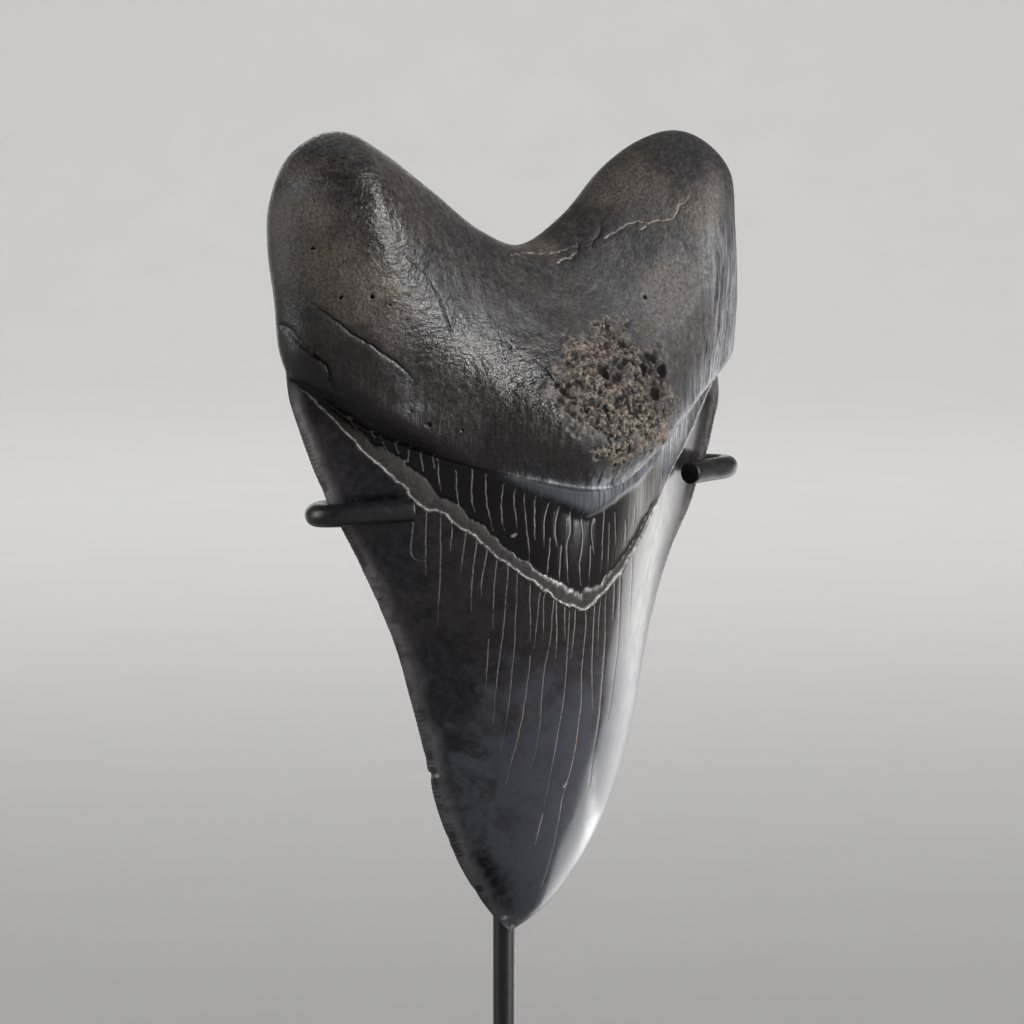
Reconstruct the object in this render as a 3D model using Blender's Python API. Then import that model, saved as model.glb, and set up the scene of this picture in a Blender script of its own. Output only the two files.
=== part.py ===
"""Megalodon tooth, root up, held by a two-prong metal display stand.

The tooth is one solid. Its outline is drawn in the plane of its cutting edges (x across, z up from the
tip), and each face is a depth in front of or behind that plane. Lengths are in millimetres until a mesh
is made. +X is the tooth's right as seen from its rounded (lingual) face, which looks towards -Y.
"""

import math

import bmesh
import bpy
import numpy as np
from mathutils import Vector
from mathutils.geometry import delaunay_2d_cdt

MM = 0.001

# ---------------------------------------------------------------- tooth
TIP_HEIGHT = 55.0  # tip above the table
TOOTH_X = -2.0  # tooth's own x = 0, from the base's centre
TOOTH_Y = 3.0  # plane of the cutting edges, from the base's centre

# Outline, from the tip up each cutting edge, and over the root from one shoulder to the other.
LEFT_EDGE = [(-0.5, -1), (-4.2, 2.2), (-9.2, 8), (-13.9, 15), (-18.3, 24.4), (-21, 33.5), (-23.9, 42.5),
             (-26.8, 51.5), (-30.8, 60.5), (-35.3, 69.2), (-40, 78), (-43.7, 87), (-46, 95), (-46.4, 100)]
RIGHT_EDGE = [(-0.5, -1), (4.5, 1.4), (9.2, 5), (14.9, 12.3), (19.5, 20.9), (22.5, 29.7), (24.6, 38.6),
              (26.4, 47.5), (28.9, 56.5), (32.5, 65), (37.6, 73.5), (41.8, 82.2), (44.8, 90.5), (45, 96)]
ROOT_OUTLINE = [(-46.4, 100), (-47.5, 104), (-48.2, 112), (-49.5, 121), (-49.1, 129), (-45.2, 137),
                (-37.2, 140.8), (-29.8, 138), (-18.5, 130.6), (-8.5, 123.6), (1.7, 120.2), (11.5, 125),
                (20.5, 133.4), (29, 138.2), (37, 139.1), (43.3, 133.5), (45.1, 122.6), (46.4, 110),
                (46, 101), (45, 96)]
SHOULDER_HEIGHT = 97.0  # the cutting edges end here and the root's rounded rim begins

# Borders on the front face: the root's lower lip, and the enamel's V-shaped top edge below it.
ROOT_LIP = [(-52, 102), (-44.3, 97.8), (-39.3, 94.3), (-33.2, 89.8), (-26.2, 86.2), (-20.5, 84), (-14, 82),
            (-5.7, 79.8), (0, 79), (6, 79.3), (12, 81.3), (19, 84.5), (27, 88.5), (35, 93), (41, 96),
            (48, 97.5)]
ENAMEL_TOP = [(-52, 101), (-43.6, 96.8), (-39, 93), (-33.8, 87.6), (-29.3, 81.6), (-21.6, 74.4),
              (-14.4, 68.8), (-8, 64.2), (-2.2, 60.1), (1.1, 58.4), (3.4, 58.9), (7, 61.6), (13.7, 67.6),
              (20, 73.5), (26, 79), (33, 85.5), (39.8, 91.8), (45, 96), (48, 97)]

# Depth of each face along the middle of the crown, by height, and how steeply it thins to the edges.
CROWN_FRONT = [(0, 0), (5, 3), (15, 6.5), (30, 10.5), (45, 14), (57, 17.5), (75, 21), (110, 23)]
CROWN_BACK = [(0, 0), (5, 1.2), (20, 2.4), (60, 3.4), (110, 4.5)]
FRONT_THINNING = [(0, 1.1), (40, 1.2), (60, 1.45), (80, 1.8), (110, 1.8)]
EDGE_BOW = -3.5  # how far the cutting edges bow forward half way up the crown
BOW_TOP = 95.0
EDGE_HALF = 0.3  # half the thickness of the blunt cutting edge
BARE_BAND = 1.1  # the smooth neck between enamel and root lies this much lower
BARE_STEP = 1.6

ROOT_RIM = 14.0  # how far in from its outline the root reaches its full depth
LIP_WIDTH = 4.0
ROOT_SIDE_DEPTH = 10.0
ROOT_RIDGES = [[(-41, 134), (-34, 119), (-25, 108), (-10, 98), (5, 92)],
               [(38, 128), (31, 113), (20, 101), (5, 92)]]
RIDGE_HEIGHT = 5.0
RIDGE_WIDTH = 13.0
BULGE_AT = (3.0, 88.0)
BULGE_SPREAD = (22.0, 15.0)
BULGE_HEIGHT = 10.0
ROOT_BACK_DEPTH = 8.0

# Relief on the root's front: a spongy patch of pits, and open cracks, as points on the face.
PATCH_AT = (9.0, 95.0)
PATCH_SPREAD = (12.0, 10.5)
PIT_COUNT = 70
PIT_RADIUS = (0.8, 1.7)
PIT_DEPTH = 1.1
CRACKS = [[(-46, 111.5), (-43, 109.4), (-40.5, 107), (-37.7, 105.6), (-33.3, 102), (-29.5, 99.2)],
          [(-48, 108.5), (-46.2, 105.2), (-44.2, 102.6), (-42.2, 98.6)],
          [(1, 119), (5, 119.6), (10.8, 119.4), (14.2, 122.2), (21.3, 124), (26.5, 125.8), (30.5, 129.5)]]
CRACK_DEPTH = 0.9
CRACK_REACH = 0.9

OUTLINE_SPACING = 2.2
FRONT_SPACING = 2.3
BACK_SPACING = 3.4
PATCH_SPACING = 1.25
RIM_ROWS = 3

# ---------------------------------------------------------------- stand
BASE_WIDTH = 110.0
BASE_DEPTH = 80.0
BASE_HEIGHT = 10.0
BASE_CORNER = 6.0
BASE_BEVEL = 1.5
ROD_RADIUS = 2.0
FIT_GAP = 0.3
SOCKET_DEPTH = 7.0
POST_AT = (2.4, 5.8)  # in the tooth's own x and y
POST_TOP = 82.5  # in the tooth's own height
WIRE_SIDES = 12
BRAZE_RADIUS = 2.7
BRAZE_LENGTH = 2.5

# Each prong's centre line in the tooth's own frame, from the post round the cutting edge to its end.
PRONG_LEFT = [(-8, 5.8, 75.2), (-20, 5.8, 75.2), (-30, 5.8, 75.2), (-35, 5.3, 75.2), (-38.8, 2.6, 75.3),
              (-41.35, -1.4, 75.4), (-39.8, -5, 75.6), (-34.5, -8.1, 76), (-28.5, -11.1, 76.4)]
PRONG_RIGHT = [(10, 5.8, 79), (21, 5.8, 79), (32, 5.8, 79), (39, 5.3, 79), (43.6, 2.5, 79.1),
               (45.2, -1.4, 79.2), (43, -4.9, 79.3), (37.5, -6.7, 79.2), (32.7, -8.4, 79.1)]


def smooth_curve(points, per_span=12):
    """Catmull-Rom curve through the points, ends included."""
    p = np.array([points[0], *points, points[-1]], float)
    t = np.linspace(0, 1, per_span, endpoint=False)[:, None]
    spans = []
    for a, b, c, d in zip(p, p[1:], p[2:], p[3:]):
        spans.append(0.5 * (2 * b + (c - a) * t + (2 * a - 5 * b + 4 * c - d) * t**2
                            + (3 * b - a - 3 * c + d) * t**3))
    return np.concatenate([*spans, p[-1:]])


def evenly_spaced(line, spacing):
    """The line's points again, a steady distance apart, ends kept."""
    along = np.concatenate([[0], np.cumsum(np.linalg.norm(np.diff(line, axis=0), axis=1))])
    count = max(2, round(along[-1] / spacing) + 1)
    at = np.linspace(0, along[-1], count)
    return np.stack([np.interp(at, along, line[:, k]) for k in range(line.shape[1])], axis=1)


def distance_to(points, line, closed=True):
    """Distance from each point to a line of straight pieces, and the nearest piece's number."""
    start = line
    end = np.roll(line, -1, axis=0)
    if not closed:
        start, end = start[:-1], end[:-1]
    step = end - start
    length2 = np.maximum((step**2).sum(1), 1e-12)
    best = np.full(len(points), np.inf)
    nearest = np.zeros(len(points), int)
    for first in range(0, len(points), 4000):
        p = points[first:first + 4000, None, :]
        share = np.clip(((p - start) * step).sum(2) / length2, 0, 1)
        gap = ((start + share[..., None] * step - p)**2).sum(2)
        nearest[first:first + 4000] = gap.argmin(1)
        best[first:first + 4000] = np.sqrt(gap.min(1))
    return best, nearest


def ramp(value, low, high):
    """0 at or below low, 1 at or above high, eased at both ends."""
    share = np.clip((value - low) / (high - low), 0, 1)
    return share * share * (3 - 2 * share)


LEFT_CURVE = smooth_curve(LEFT_EDGE)
RIGHT_CURVE = smooth_curve(RIGHT_EDGE)
ROOT_CURVE = smooth_curve(ROOT_OUTLINE)
LIP_CURVE = smooth_curve(ROOT_LIP)
ENAMEL_CURVE = smooth_curve(ENAMEL_TOP)
RIDGE_CURVES = [smooth_curve(ridge) for ridge in ROOT_RIDGES]
FRONT_CURVE = smooth_curve(CROWN_FRONT)
BACK_CURVE = smooth_curve(CROWN_BACK)


def curve_height(curve, x):
    return np.interp(x, curve[:, 0], curve[:, 1])


def pits():
    """Seeded pits over the spongy patch: x, z, radius and depth of each."""
    dice = np.random.default_rng(7)
    made = []
    for _ in range(PIT_COUNT):
        away = math.sqrt(dice.random())
        turn = dice.random() * 2 * math.pi
        x = PATCH_AT[0] + PATCH_SPREAD[0] * away * math.cos(turn)
        z = PATCH_AT[1] + PATCH_SPREAD[1] * away * math.sin(turn)
        radius = PIT_RADIUS[0] + (PIT_RADIUS[1] - PIT_RADIUS[0]) * dice.random()
        made.append((x, z, radius, PIT_DEPTH * (0.5 + dice.random()) * (1.2 - 0.7 * away)))
    return made


PITS = pits()
CRACK_CURVES = [smooth_curve(crack, 6) for crack in CRACKS]


def edge_sheet(z):
    """The cutting edges' own plane, which bows a little forward half way up the crown."""
    return EDGE_BOW * np.sin(np.clip(z / BOW_TOP, 0, 1) * math.pi)


def across(x, z):
    """-1 on the left cutting edge, 0 in the middle of the crown, 1 on the right edge."""
    low = np.interp(z, LEFT_CURVE[:, 1], LEFT_CURVE[:, 0])
    high = np.interp(z, RIGHT_CURVE[:, 1], RIGHT_CURVE[:, 0])
    return np.clip((2 * x - low - high) / np.maximum(high - low, 1e-6), -1, 1)


def edge_body(inset):
    return EDGE_HALF * (1 - np.exp(-inset / 0.6))


def rounded_rim(inset):
    return np.sqrt(1 - (1 - np.clip(inset / ROOT_RIM, 0, 1))**2)


def root_relief(x, z):
    """How far pits and cracks go below the root's front face."""
    deep = np.zeros(len(x))
    for pit_x, pit_z, radius, depth in PITS:
        share = np.clip(1 - ((x - pit_x)**2 + (z - pit_z)**2) / radius**2, 0, 1)
        deep = np.maximum(deep, depth * share)
    for crack in CRACK_CURVES:
        apart = distance_to(np.stack([x, z], 1), crack, closed=False)[0]
        deep = np.maximum(deep, CRACK_DEPTH * np.clip(1 - apart / CRACK_REACH, 0, 1))
    return deep


def front_depth(x, z, inset):
    thinning = np.interp(z, [p[0] for p in FRONT_THINNING], [p[1] for p in FRONT_THINNING])
    crown = np.interp(z, FRONT_CURVE[:, 0], FRONT_CURVE[:, 1]) * (1 - across(x, z)**2)**thinning
    lip_height = curve_height(LIP_CURVE, x)
    enamel_height = curve_height(ENAMEL_CURVE, x)
    neck = ramp(z, enamel_height, enamel_height + BARE_STEP) * ramp(inset, 1, 5)
    crown = crown - BARE_BAND * neck * ramp(lip_height - enamel_height, 1, 5)
    flat = 1.0
    for ridge in RIDGE_CURVES:
        apart = distance_to(np.stack([x, z], 1), ridge, closed=False)[0]
        flat = flat * (1 - np.exp(-(apart / RIDGE_WIDTH)**2))
    bulge = ((x - BULGE_AT[0]) / BULGE_SPREAD[0])**2 + ((z - BULGE_AT[1]) / BULGE_SPREAD[1])**2
    full = ROOT_SIDE_DEPTH + RIDGE_HEIGHT * (1 - flat) + BULGE_HEIGHT * np.exp(-bulge)
    root = full * rounded_rim(inset)
    root = root - root_relief(x, z) * ramp(inset, 0.5, 4)
    above = np.clip((z - lip_height) / LIP_WIDTH, 0, 1)
    return edge_body(inset) + crown + (root - crown) * np.sqrt(1 - (1 - above)**2)


def back_depth(x, z, inset):
    crown = np.interp(z, BACK_CURVE[:, 0], BACK_CURVE[:, 1]) * (1 - across(x, z)**2)**1.1
    root = ROOT_BACK_DEPTH * rounded_rim(inset)
    return edge_body(inset) + crown + (root - crown) * ramp(z, 86, 108)


def tooth_outline(spacing):
    left = evenly_spaced(LEFT_CURVE, spacing)
    root = evenly_spaced(ROOT_CURVE, spacing)
    right = evenly_spaced(RIGHT_CURVE[::-1], spacing)
    return np.concatenate([left[:-1], root[:-1], right[:-1]])


def inward(outline):
    """Unit normals pointing into a clockwise outline."""
    along = np.roll(outline, -1, axis=0) - np.roll(outline, 1, axis=0)
    along /= np.linalg.norm(along, axis=1)[:, None]
    return np.stack([along[:, 1], -along[:, 0]], axis=1)


def triangulated(border, inner):
    """(points, triangles, border numbers) of the flat region inside border."""
    edges = [(i, (i + 1) % len(border)) for i in range(len(border))]
    flat = [Vector(p) for p in np.concatenate([border, inner])]
    made, _, faces, origin, _, _ = delaunay_2d_cdt(flat, edges, [], 1, 1e-7)
    at = np.array([tuple(v) for v in made])
    return at, faces, [o[0] if o else -1 for o in origin]


def inside(points, outline, normals, reach, margin):
    """The points that lie inside the outline, clear of its rim rows."""
    apart, nearest = distance_to(points, outline)
    side = ((points - outline[nearest]) * normals[nearest]).sum(1)
    return points[(side > 0) & (apart > reach[nearest] + margin)]


def hex_grid(low, high, spacing):
    x, z = np.meshgrid(np.arange(low[0], high[0], spacing), np.arange(low[1], high[1], spacing * 0.866))
    x[1::2] += spacing / 2
    return np.stack([x.ravel(), z.ravel()], 1)


def beside(line, offset):
    """The line moved sideways in its plane; a positive offset is to its left."""
    along = np.gradient(line, axis=0)
    along /= np.linalg.norm(along, axis=1)[:, None]
    return line + np.stack([-along[:, 1], along[:, 0]], 1) * offset


def detail_points():
    """Extra points on the front: along the lip, the enamel's edge and the cracks, and in the patch."""
    made = []
    for curve, offsets in ((LIP_CURVE, (-0.5, 0.1, 0.9, 2.4)), (ENAMEL_CURVE, (-0.1, BARE_STEP))):
        for offset in offsets:
            made.append(evenly_spaced(beside(evenly_spaced(curve, 2.4), offset), 1.9))
    for crack in CRACK_CURVES:
        for offset in (-CRACK_REACH, 0, CRACK_REACH):
            made.append(evenly_spaced(beside(evenly_spaced(crack, 1.5), offset), 1.5))
    middle, spread = np.array(PATCH_AT), np.array(PATCH_SPREAD)
    patch = hex_grid(middle - spread, middle + spread, PATCH_SPACING)
    made.append(patch[(((patch - middle) / spread)**2).sum(1) < 1])
    return made


def thinned(groups, clear):
    """All groups' points, leaving out those too close to an earlier group's."""
    kept = np.zeros((0, 2))
    for group, gap in zip(groups, clear):
        if len(kept):
            apart = ((group[:, None, :] - kept[None, :, :])**2).sum(2).min(1)
            group = group[apart > gap**2]
        kept = np.concatenate([kept, group])
    return kept


def tooth_mesh(outline_spacing, front_spacing, back_spacing, rim_rows):
    """Vertices and faces of the whole tooth: two height fields that share one outline."""
    outline = tooth_outline(outline_spacing)
    normals = inward(outline)
    on_root = ramp(outline[:, 1], SHOULDER_HEIGHT, SHOULDER_HEIGHT + 10)
    count = len(outline)
    vertices = [np.c_[outline[:, 0], edge_sheet(outline[:, 1]), outline[:, 1]]]
    faces = []
    total = count
    for side, depth, spacing in ((-1, front_depth, front_spacing), (1, back_depth, back_spacing)):
        rows = [np.arange(count)]
        for row in range(1, rim_rows + 1):
            share = row / rim_rows
            round_reach = ROOT_RIM * (1 - math.cos(math.radians(50) * share))
            inset = (1 - on_root) * 0.9 * outline_spacing * share + on_root * round_reach
            ring = outline + normals * inset[:, None]
            y = edge_sheet(ring[:, 1]) + side * depth(ring[:, 0], ring[:, 1], inset)
            vertices.append(np.c_[ring[:, 0], y, ring[:, 1]])
            rows.append(np.arange(total, total + count))
            total += count
        for low, high in zip(rows, rows[1:]):
            for i in range(count):
                j = (i + 1) % count
                quad = (low[i], low[j], high[j], high[i])
                faces.append(quad if side > 0 else quad[::-1])
        grid = hex_grid(outline.min(0), outline.max(0), spacing)
        groups = [grid]
        gaps = [0.75 * spacing]
        if side < 0:
            extra = detail_points()
            groups = extra + groups
            gaps = [0.45] * (len(extra) - 1) + [0.8] + gaps
        points = inside(thinned(groups, gaps), outline, normals, inset, 0.5 * outline_spacing)
        at, triangles, border = triangulated(ring, points)
        deep = distance_to(at, outline)[0]
        y = edge_sheet(at[:, 1]) + side * depth(at[:, 0], at[:, 1], deep)
        number = []
        inner = []
        for i, first in enumerate(border):
            if 0 <= first < count:
                number.append(rows[-1][first])
            else:
                number.append(total + len(inner))
                inner.append((at[i, 0], y[i], at[i, 1]))
        total += len(inner)
        vertices.append(np.array(inner))
        for triangle in triangles:
            corners = [number[k] for k in triangle]
            faces.append(corners if side < 0 else corners[::-1])
    return np.concatenate(vertices), faces


def swept_wire(path, radii, sides):
    """Vertices and faces of a round wire along path, with flat ends."""
    path = np.asarray(path, float)
    along = np.gradient(path, axis=0)
    along /= np.linalg.norm(along, axis=1)[:, None]
    up = np.array((0.0, 0.0, 1.0))
    vertices = []
    for point, way, radius in zip(path, along, radii):
        out = np.cross(way, up)
        out /= np.linalg.norm(out)
        over = np.cross(out, way)
        for k in range(sides):
            turn = 2 * math.pi * k / sides
            vertices.append(point + radius * (math.cos(turn) * out + math.sin(turn) * over))
    return vertices, loft_faces(len(path), sides)


def loft_faces(loops, sides):
    """Faces that join loops of points in order, with both ends closed."""
    faces = [list(range(sides))[::-1]]
    for row in range(loops - 1):
        for k in range(sides):
            after = (k + 1) % sides
            faces.append((row * sides + k, row * sides + after,
                          (row + 1) * sides + after, (row + 1) * sides + k))
    faces.append([(loops - 1) * sides + k for k in range(sides)])
    return faces


def prong(name, points):
    """Wire from the post's side round a cutting edge, flared where it is brazed on."""
    side = math.copysign(1, points[0][0])
    start = (POST_AT[0] + side * (ROD_RADIUS + FIT_GAP), points[0][1], points[0][2])
    flare = [(start[0] + side * BRAZE_LENGTH * k / 4, start[1], start[2]) for k in range(5)]
    curve = smooth_curve([flare[-1], *points], 8)
    path = np.concatenate([flare[:-1], evenly_spaced(curve, 1.9)])
    end_way = (path[-1] - path[-2]) / np.linalg.norm(path[-1] - path[-2])
    path = np.concatenate([path, [path[-1] + 0.3 * end_way]])
    radii = np.full(len(path), ROD_RADIUS)
    for k in range(5):
        radii[k] = ROD_RADIUS + (BRAZE_RADIUS - ROD_RADIUS) * (1 - math.sin(math.pi / 2 * k / 4))
    radii[-1] = ROD_RADIUS - 0.3
    return add_solid(name, *swept_wire(path, radii, WIRE_SIDES))


def post():
    """Upright rod: its foot in the base's socket, its top behind the root."""
    foot = BASE_HEIGHT - SOCKET_DEPTH + FIT_GAP - TIP_HEIGHT
    heights = [foot, foot + 0.4, -40, -20, 0, 20, 40, 60, POST_TOP - 0.6, POST_TOP - 0.15, POST_TOP]
    radii = [ROD_RADIUS - 0.4] + [ROD_RADIUS] * 8 + [ROD_RADIUS - 0.25, ROD_RADIUS - 0.7]
    sides = 2 * WIRE_SIDES
    vertices = []
    for height, radius in zip(heights, radii):
        for k in range(sides):
            turn = 2 * math.pi * k / sides
            across_x = POST_AT[0] + radius * math.cos(turn)
            across_y = POST_AT[1] + radius * math.sin(turn)
            vertices.append((across_x, across_y, height))
    return add_solid("post", vertices, loft_faces(len(heights), sides))


def rounded_plate(inset, height, corner_steps=6):
    """One loop round the base at a height, drawn in by inset."""
    made = []
    corner = max(BASE_CORNER - inset, 0.5)
    for quarter in range(4):
        sign_x = (1, -1, -1, 1)[quarter]
        sign_y = (1, 1, -1, -1)[quarter]
        middle_x = sign_x * (BASE_WIDTH / 2 - inset - corner)
        middle_y = sign_y * (BASE_DEPTH / 2 - inset - corner)
        for step in range(corner_steps + 1):
            turn = math.pi / 2 * (quarter + step / corner_steps)
            made.append((middle_x + corner * math.cos(turn), middle_y + corner * math.sin(turn), height))
    return made


def base():
    """Plain plate with rounded corners, a bevelled top edge and a blind socket for the post."""
    loops = [rounded_plate(0.5, 0), rounded_plate(0, 0.5), rounded_plate(0, BASE_HEIGHT - BASE_BEVEL)]
    for step in (1, 2, 3):
        turn = math.pi / 2 * step / 3
        loops.append(rounded_plate(BASE_BEVEL * (1 - math.cos(turn)),
                                   BASE_HEIGHT - BASE_BEVEL * (1 - math.sin(turn))))
    centre = (TOOTH_X + POST_AT[0], TOOTH_Y + POST_AT[1])
    top = loops[-1]
    hole = ROD_RADIUS + FIT_GAP
    for radius, height in ((hole + 0.5, BASE_HEIGHT), (hole, BASE_HEIGHT - 0.5), (hole, BASE_HEIGHT - SOCKET_DEPTH)):
        loop = []
        for k in range(len(top)):
            turn = 2 * math.pi * k / len(top)
            loop.append((centre[0] + radius * math.cos(turn), centre[1] + radius * math.sin(turn), height))
        loops.append(loop)
    vertices = [point for loop in loops for point in loop]
    return add_solid("base", vertices, loft_faces(len(loops), len(top)), shift=(0, 0, 0))


def add_solid(name, vertices, faces, shift=(TOOTH_X, TOOTH_Y, TIP_HEIGHT)):
    """Mesh object from points in millimetres, with its faces turned outwards."""
    mesh = bpy.data.meshes.new(name)
    places = (np.asarray(vertices, float) + shift) * MM
    mesh.from_pydata([tuple(p) for p in places], [], [tuple(int(i) for i in f) for f in faces])
    bm = bmesh.new()
    bm.from_mesh(mesh)
    bmesh.ops.recalc_face_normals(bm, faces=bm.faces)
    bm.to_mesh(mesh)
    bm.free()
    mesh.shade_smooth()
    mesh.set_sharp_from_angle(angle=math.radians(40))
    obj = bpy.data.objects.new(name, mesh)
    bpy.context.scene.collection.objects.link(obj)
    return obj


def add_material(obj, name, color, roughness, metallic):
    material = bpy.data.materials.new(name)
    material.use_nodes = True
    shader = material.node_tree.nodes["Principled BSDF"]
    shader.inputs["Base Color"].default_value = (*color, 1)
    shader.inputs["Roughness"].default_value = roughness
    shader.inputs["Metallic"].default_value = metallic
    obj.data.materials.append(material)


def main():
    for obj in list(bpy.data.objects):
        bpy.data.objects.remove(obj)
    tooth = add_solid("tooth", *tooth_mesh(OUTLINE_SPACING, FRONT_SPACING, BACK_SPACING, RIM_ROWS))
    add_material(tooth, "fossil_tooth", (0.06, 0.055, 0.052), 0.35, 0.0)
    stand = [base(), post(), prong("prong_left", PRONG_LEFT), prong("prong_right", PRONG_RIGHT)]
    for piece in stand:
        add_material(piece, f"{piece.name}_black", (0.012, 0.012, 0.013), 0.42, 0.0)


main()
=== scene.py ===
# Fossil shark tooth, root up, gripped by two bent wires on a slim black stand.
# The tooth's own millimetres: x across (right as seen from the rounded face), z up from the tip.
import math

import bpy
import numpy as np
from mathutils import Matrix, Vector
from mathutils.geometry import delaunay_2d_cdt


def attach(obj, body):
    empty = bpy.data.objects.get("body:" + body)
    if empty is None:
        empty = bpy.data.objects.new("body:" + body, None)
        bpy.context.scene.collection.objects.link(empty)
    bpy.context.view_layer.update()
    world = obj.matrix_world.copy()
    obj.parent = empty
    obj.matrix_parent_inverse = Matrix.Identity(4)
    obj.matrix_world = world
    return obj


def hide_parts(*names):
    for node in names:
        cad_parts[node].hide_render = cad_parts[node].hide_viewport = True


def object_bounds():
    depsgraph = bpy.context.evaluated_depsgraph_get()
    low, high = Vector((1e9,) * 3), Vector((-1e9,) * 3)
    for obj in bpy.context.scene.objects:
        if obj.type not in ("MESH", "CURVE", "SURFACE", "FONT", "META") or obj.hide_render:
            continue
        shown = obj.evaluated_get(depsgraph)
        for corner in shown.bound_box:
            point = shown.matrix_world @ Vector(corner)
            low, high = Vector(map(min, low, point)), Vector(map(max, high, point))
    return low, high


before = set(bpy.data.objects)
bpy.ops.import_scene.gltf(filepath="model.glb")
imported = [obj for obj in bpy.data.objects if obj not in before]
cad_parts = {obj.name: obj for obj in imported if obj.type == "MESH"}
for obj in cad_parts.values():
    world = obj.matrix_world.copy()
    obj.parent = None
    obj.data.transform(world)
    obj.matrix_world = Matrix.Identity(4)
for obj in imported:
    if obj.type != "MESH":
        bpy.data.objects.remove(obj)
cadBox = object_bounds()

mm = 0.001
toothPlace = np.array((-2.0, 3.0, 55.0))   # tooth's own origin, from the base's centre


# small helpers for curves and smooth random fields

def smoothCurve(points, perSpan=12):
    p = np.array([points[0], *points, points[-1]], float)
    t = np.linspace(0, 1, perSpan, endpoint=False)[:, None]
    spans = []
    for a, b, c, d in zip(p, p[1:], p[2:], p[3:]):
        spans.append(0.5 * (2 * b + (c - a) * t + (2 * a - 5 * b + 4 * c - d) * t**2
                            + (3 * b - a - 3 * c + d) * t**3))
    return np.concatenate([*spans, p[-1:]])


def evenly(line, spacing):
    along = np.concatenate([[0], np.cumsum(np.linalg.norm(np.diff(line, axis=0), axis=1))])
    count = max(2, round(along[-1] / spacing) + 1)
    at = np.linspace(0, along[-1], count)
    return np.stack([np.interp(at, along, line[:, k]) for k in range(line.shape[1])], axis=1)


def beside(line, offset):
    along = np.gradient(line, axis=0)
    along /= np.linalg.norm(along, axis=1)[:, None]
    return line + np.stack([-along[:, 1], along[:, 0]], 1) * offset


def readOff(curve, at):
    # a curve's second value where its first is at
    curve = np.asarray(curve, float)
    return np.interp(at, curve[:, 0], curve[:, 1])


batch = 3000   # points worked on at a time, to save memory


def toSegments(points, start, end):
    # distance from each point to the nearest of many straight pieces, and which piece that is
    step = end - start
    length2 = np.maximum((step**2).sum(1), 1e-12)
    best = np.zeros(len(points))
    nearest = np.zeros(len(points), int)
    for first in range(0, len(points), batch):
        p = points[first:first + batch]
        dx = p[:, None, 0] - start[:, 0]
        dz = p[:, None, 1] - start[:, 1]
        share = np.clip((dx * step[:, 0] + dz * step[:, 1]) / length2, 0, 1)
        gap = (dx - share * step[:, 0])**2 + (dz - share * step[:, 1])**2
        pick = gap.argmin(1)
        nearest[first:first + batch] = pick
        best[first:first + batch] = np.sqrt(gap[np.arange(len(p)), pick])
    return best, nearest


def toLine(points, line, closed=False):
    if closed:
        line = np.concatenate([line, line[:1]])
    return toSegments(points, line[:-1], line[1:])


def ramp(value, low, high):
    # 0 up to low, 1 from high on, eased at both ends
    share = np.clip((value - low) / (high - low), 0, 1)
    return share * share * (3 - 2 * share)


def cloud(points, size, seed):
    # smooth random field, -1 to 1; size is one cell in millimetres, a number or one per axis
    cells = 32
    grid = np.random.default_rng(seed).uniform(-1, 1, (cells, cells, cells))
    p = points / np.asarray(size, float)
    base = np.floor(p).astype(int)
    t = p - base
    t = t * t * (3 - 2 * t)
    total = np.zeros(len(points))
    for i, j, k in np.ndindex(2, 2, 2):
        share = np.abs(1 - i - t[:, 0]) * np.abs(1 - j - t[:, 1]) * np.abs(1 - k - t[:, 2])
        total += share * grid[(base[:, 0] + i) % cells, (base[:, 1] + j) % cells, (base[:, 2] + k) % cells]
    return total


def layered(points, size, seed):
    # three clouds, each half the size and height of the last
    total = 0
    for k in range(3):
        total = total + cloud(points, np.asarray(size, float) / 2**k, seed + k) / 2**k
    return total / 1.6


# tooth: outline, borders and depths, the same drawing as the solid's

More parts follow.
